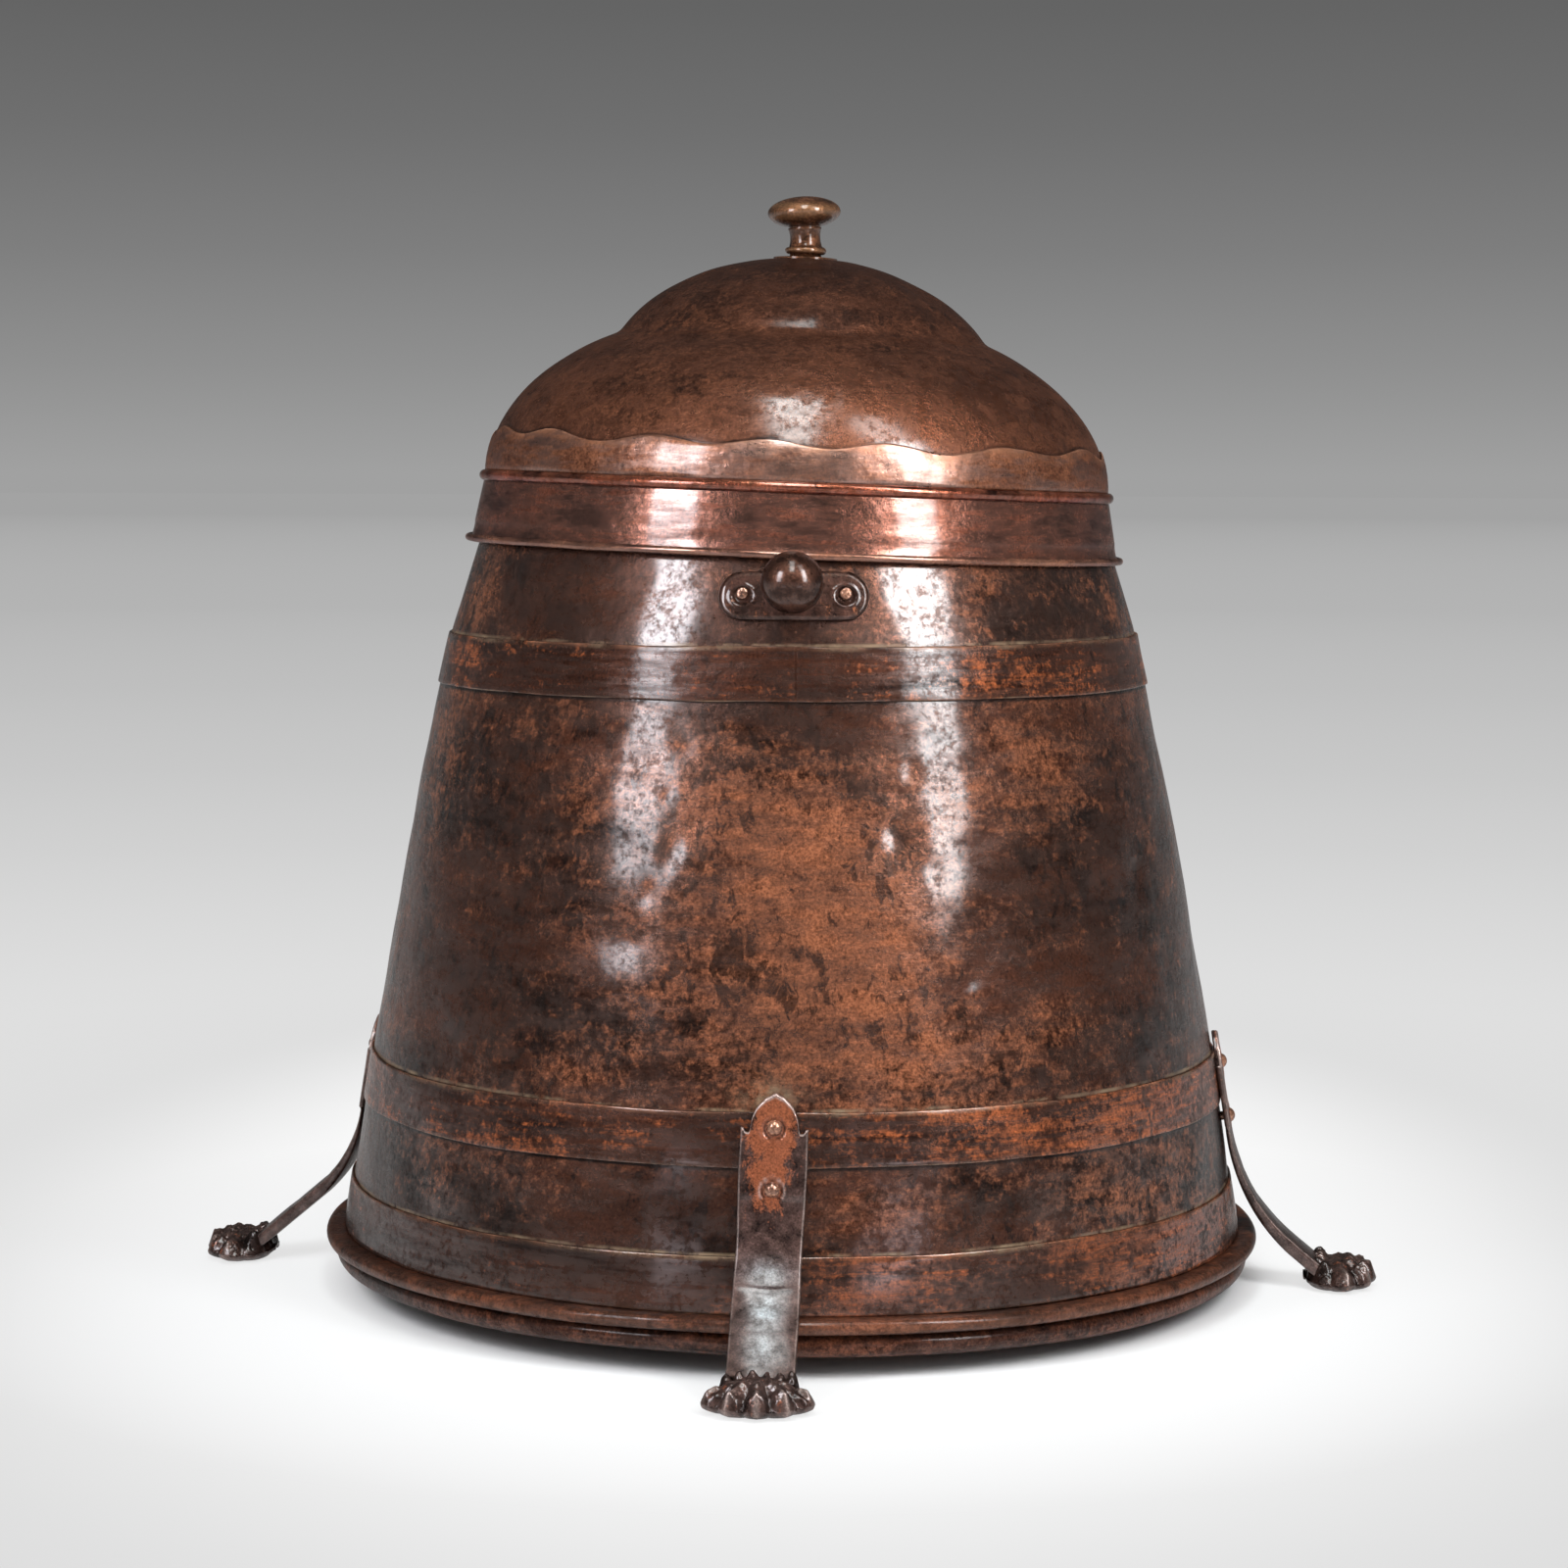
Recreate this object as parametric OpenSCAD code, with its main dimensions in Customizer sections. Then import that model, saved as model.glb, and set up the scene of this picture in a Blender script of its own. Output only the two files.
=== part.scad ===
// Copper coal scuttle with a loose domed lid, standing on four cast lion-paw straps.
// The tub is a tapering sheet wall with three soldered bands, a moulded base and a rolled mouth.
// Origin: on the floor below the middle of the tub. +Z is up and the front faces -Y.
// Azimuths are counted from the front, towards +X.

/* [Tub wall] */
// Outer radius of the wall at its bottom edge
tub_bottom_r = 205.3; // [200:0.1:212]
// Height of the wall's bottom edge above the floor
tub_bottom_z = 24.9; // [22:0.1:30]
// Outer radius where the neck begins
neck_r = 155.6; // [152:0.1:160]
// Height where the neck begins
neck_z = 300; // [298:0.5:303]
// How far the wall swells beyond a straight cone between its bottom edge and the neck
tub_belly = 2.9; // [0:0.1:6]
// Radius that the neck loses in each millimetre of height
neck_taper = 0.31; // [0.2:0.01:0.4]
// Height of the top of the rolled mouth edge
mouth_z = 352.4; // [346:0.1:360]
// Thickness of the wall sheet
wall_t = 1.4; // [1:0.1:2]
// Diameter of the wire inside the rolled mouth edge
mouth_wire_d = 3; // [2:0.1:4]

/* [Bands] */
// Thickness of the band strip
band_t = 1.2; // [0.8:0.1:1.6]
// Height of the upper band's lower edge
upper_band_z = 275.3; // [240:0.1:277]
// Width of the upper band
upper_band_h = 22.6; // [12:0.1:22.6]
// Height of the lower band's lower edge
lower_band_z = 85.7; // [84:0.1:88]
// Width of the lower band
lower_band_h = 22.5; // [20:0.1:26]
// Height of the plinth band's upper edge
plinth_top_z = 50; // [40:0.1:60]
// Gap where a band's two ends meet
band_joint = 0.4; // [0.2:0.1:1]
// Azimuth of the upper band's joint
upper_joint_turn = 0.8; // [-5:0.1:5]
// Azimuth of the joints of the two lower bands
lower_joint_turn = 135; // [110:1:160]

/* [Base] */
// Height of the base ring's lower edge above the floor
ring_bottom_z = 10.7; // [9:0.1:12]
// Radial width of the base ring
ring_w = 9.6; // [8:0.1:12]
// How far the flange reaches out beyond the wall's bottom edge
flange_w = 9.4; // [8:0.1:12]
// Thickness of the flange sheet
flange_t = 2; // [1.4:0.1:2.6]
// Diameter of the flange's rolled lip
flange_roll_d = 6.4; // [5:0.1:7]
// Thickness of the floor pan
pan_t = 1.4; // [1:0.1:2]
// Height of the pan's turned-up edge
pan_edge_h = 9; // [5:0.5:20]

/* [Feet] */
// Azimuth of the front foot; the back foot is opposite
front_foot_turn = -2.2; // [-6:0.1:6]
// Azimuth of the right foot
right_foot_turn = 84; // [80:0.5:100]
// Azimuth of the left foot
left_foot_turn = -96.5; // [-100:0.5:-80]
// Sideways slant of the front foot's strap
front_strap_slant = 2; // [0:0.1:3]
// Width of a strap
strap_w = 28; // [24:0.5:32]
// Thickness of a strap where it is riveted on
strap_t = 3; // [2.4:0.1:4]
// Thickness of a strap where it runs into the paw
ankle_t = 6.5; // [5:0.1:8]
// Height of the strap's pointed tip
strap_tip_z = 116.6; // [114:0.1:120]
// Width of the pointed tip at its shoulders
tip_w = 20; // [16:0.5:22]
// Height of the shoulders below the point
shoulder_z = 102.3; // [101:0.1:104]
// Radius of the scoop between each shoulder and the point
scoop_r = 2; // [1:0.1:2.5]
// Height where the strap starts to bend away from the wall
bend_z = 73; // [66:0.5:73.5]
// Lean of the strap from the vertical after the bend
ankle_lean = 50; // [45:1:54]
// Height of the upper foot rivet
foot_rivet_top_z = 102.3; // [98:0.1:103]
// Distance between the two rivets of a foot
foot_rivet_pitch = 25; // [20:0.1:27]
// Diameter of a foot rivet's head
foot_rivet_head_d = 6.7; // [6:0.1:8]
// Height of a foot rivet's domed head
foot_rivet_head_h = 2.2; // [1.4:0.1:2.8]
// Diameter of a foot rivet's shank
foot_rivet_d = 4; // [3:0.1:5]

/* [Paws] */
// Distance from the flange's edge to the middle of the front and back paws
paw_out = 39.8; // [36:0.1:43]
// How far the right foot is bent in
right_foot_in = 6.5; // [0:0.1:8]
// How far the left foot is bent out
left_foot_out = 2.5; // [0:0.1:5]
// Reach of the middle toe in front of the paw's middle
paw_reach = 21.5; // [19:0.1:24]
// Reach of the heel behind the paw's middle
heel_reach = 14; // [12:0.1:16]
// Width of a paw across its toes
paw_w = 47.5; // [42:0.1:54]
// Height of the paw's core
paw_h = 14; // [12:0.1:16]
// Angle from one toe to the next
toe_step = 35; // [32:1:37]
// Depth of the grooves between the toes, as a share of the toe's reach
toe_groove = 0.13; // [0.05:0.01:0.2]
// Rise of a toe above the paw's core
toe_rise = 4; // [2:0.1:6]
// Rise of a knuckle above the paw's core
knuckle_rise = 4; // [2:0.1:6]

/* [Side handles] */
// Height of the middle of a handle plate
handle_z = 319.1; // [317:0.1:320]
// Length of a handle plate
plate_l = 63; // [58:0.5:70]
// Height of a handle plate
plate_h = 21.5; // [19:0.5:23]
// Thickness of a handle plate
plate_t = 3; // [2:0.1:4]
// Distance between the two rivets of a handle plate
plate_rivet_pitch = 42.6; // [38:0.1:46]
// Diameter of the sunk seat round a plate rivet
plate_seat_d = 7; // [6.4:0.1:8]
// Diameter of a plate rivet's head
plate_rivet_head_d = 5; // [4.2:0.1:5.6]
// Diameter of a plate rivet's shank
plate_rivet_d = 3; // [2.4:0.1:3.6]
// Diameter of the ball
ball_d = 26; // [22:0.5:30]
// Distance from the wall to the middle of the ball
ball_reach = 26; // [24:0.5:30]
// Diameter of the ball's stem
ball_stem_d = 11; // [9:0.5:13]
// Diameter of the stem's shank through the wall
ball_shank_d = 6; // [5:0.5:8]

/* [Lid] */
// Lean of the loose lid, with its low side towards +X
lid_lean = 2; // [0:0.1:3]
// How far the dome's upright wall stands outside the top of the neck
dome_over = 1.6; // [1:0.1:4]
// Height of the dome's shoulder curve
shoulder_h = 80.7; // [70:0.1:90]
// Height of the upright wall below the shoulder curve
dome_wall_h = 8.7; // [7:0.1:14]
// Thickness of the dome sheet
dome_t = 1.2; // [0.8:0.1:1.6]
// Radial width of the shoulder, from the dome's wall to the crease under the crown
shoulder_w = 57.4; // [52:0.1:64]
// How much wider than the crease the crown's curve would become if it ran on below it
crown_spread = 6.6; // [4:0.1:12]
// Height of the crown above the crease
crown_h = 36.2; // [28:0.1:44]
// Radial width of the ledge that sits on the mouth
ledge_w = 10; // [8:0.5:14]

/* [Lid skirt and collar] */
// Height of the bead above the lid's seat
bead_z = 6.4; // [4:0.1:7]
// Width of the bead's half-round strip
bead_d = 5; // [4:0.1:6]
// Thickness of the skirt and collar sheet
skirt_t = 1; // [0.8:0.1:1.2]
// Mean height of the skirt's wavy edge above the lid's seat
wave_z = 25.2; // [18:0.1:34]
// Height of a wave from trough to crest
wave_h = 3.6; // [2:0.1:8]
// Number of waves round the skirt
wave_count = 16; // [12:1:20]
// Azimuth of the crest nearest the front
wave_turn = -5; // [-11:0.1:11]
// Depth of the rim's middle below the lid's seat
rim_drop = 21.8; // [20:0.1:26]
// Diameter of the rolled rim
rim_d = 3.4; // [3:0.1:4]
// Height of the flare above the rim
flare_h = 8; // [6:0.1:12]

/* [Lid knob] */
// Diameter of the knob's head
knob_d = 33; // [28:0.5:38]
// Thickness of the knob's head
knob_head_h = 14.4; // [10:0.1:18]
// Diameter of the knob's stem at its waist
knob_stem_d = 13.6; // [11:0.1:16]
// Height of the stem between ring and head
knob_stem_h = 9.6; // [7:0.1:14]
// Diameter of the ring below the stem
knob_ring_d = 18.8; // [16:0.1:22]
// Thickness of that ring
knob_ring_h = 3.2; // [2.6:0.1:4.4]
// Height of the foot below that ring
knob_foot_h = 1; // [0.5:0.1:3]
// Lean of the stem and head away from the lid's axis, towards -X
knob_lean = 4.5; // [0:0.1:6]
// Diameter of the washer under the knob
knob_washer_d = 29; // [24:0.5:34]
// Thickness of that washer
knob_washer_t = 0.8; // [0.5:0.1:1.2]
// Diameter of the knob's shank through the crown
knob_shank_d = 7; // [5:0.5:9]

/* [Fits] */
// Solder gap between two sheets of the same body
solder_gap = 0.1; // [0.05:0.01:0.2]
// Gap between lid and tub where the lid rests
lid_gap = 0.3; // [0.2:0.05:0.5]
// Clearance between the lid's rim and the neck
rim_gap = 0.7; // [0.4:0.1:1.5]
// Radial gap round a shank in its hole
hole_gap = 0.06; // [0.03:0.01:0.15]
// Thickness of the roves that the shanks are set over
rove_t = 1.2; // [0.8:0.1:2]
// How far a rove reaches past its shank
rove_rim = 3.5; // [2:0.1:5]

/* [Hidden] */
$fn = 96;

copper = "#7a4630";
worn_copper = "#94583a";
bright_copper = "#b4683f";
dark_bronze = "#55402f";

flange_r = tub_bottom_r + flange_w;
paw_x = flange_r + paw_out;
foot_turns = [front_foot_turn, right_foot_turn, front_foot_turn + 180, left_foot_turn];
foot_slants = [-front_strap_slant, 0, 0, 0];
paw_xs = [paw_x, paw_x - right_foot_in, paw_x, paw_x + left_foot_out];
handle_turns = [0, 180];
wall_steps = 14;
band_off = solder_gap + band_t;

// Outer radius of the wall at height z: a shallow arc up to the neck, then a straight taper
tub_rise = neck_z - tub_bottom_z;
function arc_share(z) = (z - tub_bottom_z) / tub_rise;
function arc_r(z) = tub_bottom_r + (neck_r - tub_bottom_r) * arc_share(z)
    + tub_belly * 4 * arc_share(z) * (1 - arc_share(z));
function wall_r(z) = z > neck_z ? neck_r - neck_taper * (z - neck_z) : arc_r(z);

// The wall's outline from height a to height b, moved out by off
function wall_line(a, b, off, steps) =
    [for (i = [0:steps]) let (z = a + (b - a) * i / steps) [wall_r(z) + off, z]];
function flip(points) = [for (i = [len(points) - 1:-1:0]) points[i]];

// Rolled mouth edge
mouth_roll_r = mouth_wire_d / 2 + solder_gap + wall_t;
mouth_roll_z = mouth_z - mouth_roll_r;
neck_lean = atan(neck_taper);
mouth_roll_x = wall_r(mouth_roll_z) - mouth_roll_r / cos(neck_lean);

// Base mouldings
flange_roll_z = tub_bottom_z + flange_t - flange_roll_d / 2;
flange_low_z = flange_roll_z - flange_roll_d / 2;
flange_top_z = tub_bottom_z + flange_t;
ring_in_r = tub_bottom_r - ring_w / 2;
ring_out_r = ring_in_r + ring_w;
pan_r = wall_r(tub_bottom_z + pan_edge_h) - wall_t - solder_gap;

// Strap seat: a straight line down the face of the lower band
function seat_x(z) = wall_r(z) + band_off + solder_gap;
lower_band_top_z = lower_band_z + lower_band_h;
seat_slope = (seat_x(lower_band_z) - seat_x(lower_band_top_z)) / lower_band_h;
seat_lean = atan(seat_slope);
function strap_x(z) = seat_x(lower_band_z) + seat_slope * (lower_band_z - z);
foot_rivet_zs = [foot_rivet_top_z, foot_rivet_top_z - foot_rivet_pitch];
strap_mid_z = foot_rivet_top_z - foot_rivet_pitch / 2;
strap_steps = 12;
bend_start = [strap_x(bend_z) + strap_t * cos(seat_lean), bend_z + strap_t * sin(seat_lean)];

// The strap's outer face bends from the seat's lean to the ankle's, then runs straight into the
// paw. Its end point fixes the bend's radius and the length of the straight run.
turn_in = [cos(seat_lean) - cos(ankle_lean), sin(seat_lean) - sin(ankle_lean)];
ankle_run = [sin(ankle_lean), -cos(ankle_lean)];
turn_det = turn_in[0] * ankle_run[1] - turn_in[1] * ankle_run[0];
function ankle_end(x) = [x - heel_reach / 4, paw_h * 0.82];
function ankle_way(x) = ankle_end(x) - bend_start;
function bend_r(x) = (ankle_way(x)[0] * ankle_run[1] - ankle_way(x)[1] * ankle_run[0]) / turn_det;
function ankle_l(x) = (turn_in[0] * ankle_way(x)[1] - turn_in[1] * ankle_way(x)[0]) / turn_det;

// Points of the outer and the inner face at a share s of the bend, for a paw at x
function bend_lean(s) = seat_lean + (ankle_lean - seat_lean) * s;
function bend_t(s) = strap_t + (ankle_t - strap_t) * s;
function bend_out(s, x) = bend_start
    + bend_r(x) * [cos(seat_lean) - cos(bend_lean(s)), sin(seat_lean) - sin(bend_lean(s))];
function bend_in(s, x) = bend_out(s, x) - bend_t(s) * [cos(bend_lean(s)), sin(bend_lean(s))];

// Paw: rings of points round its middle; s runs from 0 at the middle to 1 at the toe tips
paw_columns = 60;
toe_angles = [for (i = [-2:2]) i * toe_step];
knuckle_angles = [for (i = [-2:1]) (i + 0.5) * toe_step];
function lobe(a, middle, half) = max(0, 1 - pow((a - middle) / half, 2));
function toe_lobe(a) = max([for (t = toe_angles) lobe(a, t, 0.57 * toe_step)]);
function knuckle_lobe(a) = max([for (k = knuckle_angles) lobe(a, k, 0.52 * toe_step)]);
function bump(s, middle, width) = exp(-pow((s - middle) / width, 2));
function ellipse_r(a, along, across) = along * across
    / sqrt(pow(across * cos(a), 2) + pow(along * sin(a), 2));
function paw_r(a) = ellipse_r(a, abs(a) > 90 ? heel_reach : paw_reach, paw_w / 2)
    * (1 - toe_groove * (1 - toe_lobe(a)));
function paw_top(a, s) = paw_h * sqrt(1 - 0.92 * s * s)
    + toe_rise * toe_lobe(a) * bump(s, 0.82, 0.16)
    + knuckle_rise * knuckle_lobe(a) * bump(s, 0.5, 0.15);
function heel_lift(a) = pow(max(0, abs(a) - 95) / 85, 2);
// Rings of the sole: share of the reach, then height and lift at the heel as shares of the paw's height
sole_rings = [[0.97, 0.17, 0.21], [0.84, 0.06, 0.14], [0.62, 0, 0]];
top_rings = [0.16, 0.3, 0.4, 0.5, 0.6, 0.7, 0.78, 0.86, 0.93, 0.98, 1];

// Side handles
handle_pitch_turn = asin(plate_rivet_pitch / 2 / wall_r(handle_z));
plate_off = solder_gap + plate_t;
plate_seat_depth = plate_t / 3;
function sagitta(half, radius) = half * half / (2 * radius);

// Lid outline, in the lid's own frame: z = 0 is the underside of its seat ledge
dome_r = wall_r(mouth_z) + dome_over;
crease_r = dome_r - shoulder_w;
crown_r = crease_r + crown_spread;
ledge_r = dome_r - ledge_w;
seat_x0 = mouth_roll_x;
lid_shift = rim_drop * sin(lid_lean);
skirt_gap = 2 * solder_gap;
bead_r = dome_r + skirt_gap + skirt_t;
crease_s = acos(crease_r / dome_r);
crown_s = acos(crease_r / crown_r);
crown_v = crown_h / (1 - sin(crown_s));
crown_mid_z = dome_wall_h + shoulder_h * sin(crease_s) - crown_v * sin(crown_s);
apex_z = crown_mid_z + crown_v;
dome_steps = 14;
// Shoulder and crown outline moved out by off, up from the upright wall to the apex
function shoulder_point(s, off) = [(dome_r + off) * cos(s), dome_wall_h + (shoulder_h + off) * sin(s)];
function crown_point(s, off) = [(crown_r + off) * cos(s), crown_mid_z + (crown_v + off) * sin(s)];
function dome_line(off) = concat(
    [for (i = [0:dome_steps]) shoulder_point(crease_s * i / dome_steps, off)],
    [for (i = [1:dome_steps]) crown_point(crown_s + (90 - crown_s) * i / dome_steps, off)]);
// Section of the wavy skirt at azimuth a: up its outer face and down its inner face
wave_columns = 8;
skirt_layers = 4;
function skirt_r(z, off) = (dome_r + off) * sqrt(1 - pow(max(0, z - dome_wall_h) / (shoulder_h + off), 2));
function wave_edge_z(a) = wave_z + wave_h / 2 * cos(wave_count * (a - wave_turn));
function skirt_face(a, off) = [for (i = [0:skirt_layers])
    let (z = bead_z + (wave_edge_z(a) - bead_z) * i / skirt_layers) [skirt_r(z, off), z]];
function skirt_section(a) = concat(
    skirt_face(a, skirt_gap + skirt_t), flip(skirt_face(a, skirt_gap)));

// Collar outline: straight down from the bead, then a flare that runs into the rolled rim
rim_x = wall_r(mouth_z - rim_drop) + rim_gap + rim_d / 2;
roll_in_r = rim_d / 2 - skirt_t;
flare_z = flare_h - rim_drop;
flare_x = wall_r(mouth_z + flare_z) + 2 * rim_gap + skirt_t;
flare_end_x = rim_x - roll_in_r;
flare_steps = 5;
function flare_line(off) = [for (i = [0:flare_steps]) let (s = i / flare_steps)
    [flare_x + off + (flare_end_x - flare_x) * s * s, flare_z + (-rim_drop - flare_z) * s]];
// Arc round the rim's wire at radius r, from the inner side under the wire and up outside it
roll_steps = 20;
function rim_arc(r) = [for (i = [1:roll_steps]) let (a = 180 + 270 * i / roll_steps)
    [rim_x + r * cos(a), r * sin(a) - rim_drop]];
// The bead's flat face clears the collar, which widens below it
collar_slope = (flare_x - bead_r) / (bead_z - flare_z);
bead_in_x = bead_r + collar_slope * bead_d / 2 + solder_gap;

// Knob outline, from its foot on the washer
knob_foot_z = apex_z + solder_gap + knob_washer_t;
knob_ring_z = knob_foot_z + knob_foot_h + knob_ring_h / 2;

// Moves its children, drawn looking outwards along +Z, to the wall at azimuth a and height z
module at_wall(a, z) {
    lean = z > neck_z ? neck_lean : seat_lean;
    rotate([0, 0, a - 90])
        translate([wall_r(z), 0, z])
            rotate([0, 90 - lean, 0])
                children();
}

// Moves its children, drawn looking outwards along +Z, to a strap's inner face at height z
module at_strap(z) {
    translate([strap_x(z), 0, z])
        rotate([0, 90 - seat_lean, 0])
            children();
}

// Moves its children from the lid's own frame to its place on the mouth
module lid_place() {
    translate([seat_x0 + lid_shift, 0, mouth_z + lid_gap])
        rotate([0, lid_lean, 0])
            translate([-seat_x0, 0, 0])
                children();
}

// Hole for a shank of diameter d, right through a sheet at the origin
module shank_hole(d) {
    translate([0, 0, -12])
        cylinder(h = 24, r = d / 2 + hole_gap);
}

// Holes of all foot rivets
module foot_rivet_holes() {
    for (i = [0:3])
        rotate([0, 0, foot_turns[i] - 90])
            strap_slant(i)
                for (z = foot_rivet_zs)
                    at_strap(z)
                        shank_hole(foot_rivet_d);
}

// Holes of all handle rivets and handle shanks
module handle_holes() {
    for (a = handle_turns) {
        at_wall(a, handle_z)
            shank_hole(ball_shank_d);
        for (side = [-1, 1])
            at_wall(a + side * handle_pitch_turn, handle_z)
                shank_hole(plate_rivet_d);
    }
}

// Domed rivet head of diameter d and height h, standing on z = 0
module rivet_head(d, h) {
    ball_r = (d * d / 4 + h * h) / (2 * h);
    intersection() {
        translate([0, 0, h - ball_r])
            sphere(r = ball_r);
        cylinder(h = h, r = d / 2);
    }
}

// Sheet wall with its mouth edge rolled inwards on a wire
module body_shell() {
    color(copper)
        difference() {
            rotate_extrude($fn = 128)
                difference() {
                    union() {
                        polygon(concat(
                            wall_line(tub_bottom_z, neck_z, 0, wall_steps),
                            [[wall_r(mouth_roll_z), mouth_roll_z]],
                            [[wall_r(mouth_roll_z) - wall_t, mouth_roll_z]],
                            flip(wall_line(tub_bottom_z, neck_z, -wall_t, wall_steps))));
                        translate([mouth_roll_x, mouth_roll_z])
                            circle(r = mouth_roll_r, $fn = 32);
                    }
                    translate([mouth_roll_x, mouth_roll_z])
                        circle(r = mouth_wire_d / 2 + solder_gap, $fn = 32);
                }
            foot_rivet_holes();
            handle_holes();
        }
}

// Iron wire that stiffens the mouth
module mouth_wire() {
    color(dark_bronze)
        rotate_extrude($fn = 128)
            translate([mouth_roll_x, mouth_roll_z])
                circle(d = mouth_wire_d, $fn = 24);
}

// Strip bent round the wall from height a to height b, its ends meeting at azimuth turn
module band(a, b, turn) {
    difference() {
        rotate_extrude($fn = 128)
            polygon(concat(wall_line(a, b, solder_gap, 4), flip(wall_line(a, b, band_off, 4))));
        rotate([0, 0, turn - 90])
            translate([0, -band_joint / 2, a - 1])
                cube([tub_bottom_r + 10, band_joint, b - a + 2]);
    }
}

// Band below the neck, with its joint at the front
module upper_band() {
    color(worn_copper)
        band(upper_band_z, upper_band_z + upper_band_h, upper_joint_turn);
}

// Band that the straps are riveted over
module lower_band() {
    color(worn_copper)
        difference() {
            band(lower_band_z, lower_band_top_z, lower_joint_turn);
            foot_rivet_holes();
        }
}

// Wide band that stands on the flange
module plinth_band() {
    color(worn_copper)
        band(flange_top_z + solder_gap, plinth_top_z, lower_joint_turn);
}

// Ledge with a rolled lip round the foot of the wall
module base_flange() {
    color(copper)
        rotate_extrude($fn = 128) {
            translate([tub_bottom_r + solder_gap, tub_bottom_z])
                square([flange_r - flange_roll_d / 2 - tub_bottom_r - solder_gap, flange_t]);
            translate([flange_r - flange_roll_d / 2, flange_roll_z])
                circle(d = flange_roll_d, $fn = 32);
        }
}

// Round moulding under the wall and the flange
module base_ring() {
    nose_h = flange_low_z - ring_bottom_z;
    color(dark_bronze)
        rotate_extrude($fn = 128)
            union() {
                translate([ring_in_r, ring_bottom_z])
                    square([ring_w - nose_h / 2, nose_h]);
                translate([ring_out_r - nose_h / 2, ring_bottom_z + nose_h / 2])
                    circle(d = nose_h, $fn = 32);
                translate([ring_in_r, ring_bottom_z])
                    square([ring_w / 2 + 1, tub_bottom_z - ring_bottom_z]);
            }
}

// Flat floor with its edge turned up inside the wall
module base_pan() {
    edge_top_z = tub_bottom_z + pan_edge_h;
    low_r = tub_bottom_r - wall_t - solder_gap;
    color(copper)
        rotate_extrude($fn = 128)
            polygon([
                [0, tub_bottom_z], [low_r, tub_bottom_z], [pan_r, edge_top_z],
                [pan_r - pan_t, edge_top_z], [low_r - pan_t, tub_bottom_z + pan_t],
                [0, tub_bottom_z + pan_t]]);
}

// Side outline of the strap to a paw at x, as a plate as wide as the strap
module strap_side(x) {
    tip_z = strap_tip_z + 1;
    ankle_out = ankle_end(x);
    ankle_in = bend_in(1, x) + ankle_l(x) * ankle_run;
    rotate([90, 0, 0])
        translate([0, 0, -strap_w / 2])
            linear_extrude(height = strap_w)
                polygon(concat(
                    [[strap_x(tip_z), tip_z]],
                    [[strap_x(tip_z) + strap_t * cos(seat_lean), tip_z + strap_t * sin(seat_lean)]],
                    [for (i = [0:strap_steps]) bend_out(i / strap_steps, x)],
                    [ankle_out, ankle_in],
                    [for (i = [strap_steps:-1:0]) bend_in(i / strap_steps, x)]));
}

// Front outline of a strap: a pointed arch between two scooped shoulders
module strap_front() {
    point_h = strap_tip_z - shoulder_z;
    arch_r = (pow(tip_w / 2, 2) + pow(point_h, 2)) / tip_w;
    rotate([90, 0, 90])
        linear_extrude(height = max(paw_xs) + paw_reach) {
            difference() {
                translate([-strap_w / 2, 0])
                    square([strap_w, shoulder_z]);
                for (side = [-1, 1])
                    translate([side * (tip_w / 2 + scoop_r / 2), shoulder_z])
                        circle(r = scoop_r, $fn = 24);
            }
            translate([0, shoulder_z])
                intersection() {
                    translate([tip_w / 2 - arch_r, 0])
                        circle(r = arch_r, $fn = 48);
                    translate([arch_r - tip_w / 2, 0])
                        circle(r = arch_r, $fn = 48);
                    translate([-tip_w / 2, -2 * scoop_r])
                        square([tip_w, point_h + 2 * scoop_r]);
                }
        }
}

// Lion's paw: five toes round the front, four knuckles behind them and a flat sole
module paw() {
    n = paw_columns;
    angles = [for (i = [0:n - 1]) -180 + 360 * i / n];
    tops = [for (s = top_rings) [for (a = angles)
        [s * paw_r(a) * cos(a), s * paw_r(a) * sin(a), paw_top(a, s)]]];
    soles = [for (ring = sole_rings) [for (a = angles)
        [ring[0] * paw_r(a) * cos(a), ring[0] * paw_r(a) * sin(a),
         paw_h * (ring[1] + ring[2] * heel_lift(a))]]];
    rings = concat(tops, soles);
    last = len(rings) - 1;
    points = concat([for (ring = rings) for (p = ring) p], [[0, 0, paw_h], [0, 0, 0]]);
    crown = n * len(rings);
    faces = concat(
        [for (i = [0:n - 1]) [crown, (i + 1) % n, i]],
        [for (k = [0:last - 1]) for (i = [0:n - 1]) [k * n + i, k * n + (i + 1) % n, (k + 1) * n + i]],
        [for (k = [0:last - 1]) for (i = [0:n - 1])
            [k * n + (i + 1) % n, (k + 1) * n + (i + 1) % n, (k + 1) * n + i]],
        [for (i = [0:n - 1]) [crown + 1, last * n + i, last * n + (i + 1) % n]]);
    polyhedron(points, faces);
}

// Turns its children by the slant of foot i about the middle of its rivets
module strap_slant(i) {
    translate([0, 0, strap_mid_z])
        rotate([foot_slants[i], 0, 0])
            translate([0, 0, -strap_mid_z])
                children();
}

// Foot i: strap and paw cast in one piece
module foot(i) {
    x = paw_xs[i];
    color(dark_bronze)
        rotate([0, 0, foot_turns[i] - 90])
            union() {
                strap_slant(i)
                    difference() {
                        intersection() {
                            strap_side(x);
                            strap_front();
                        }
                        for (z = foot_rivet_zs)
                            at_strap(z)
                                shank_hole(foot_rivet_d);
                    }
                translate([x, strap_mid_z * sin(foot_slants[i]), 0])
                    paw();
            }
}

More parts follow.
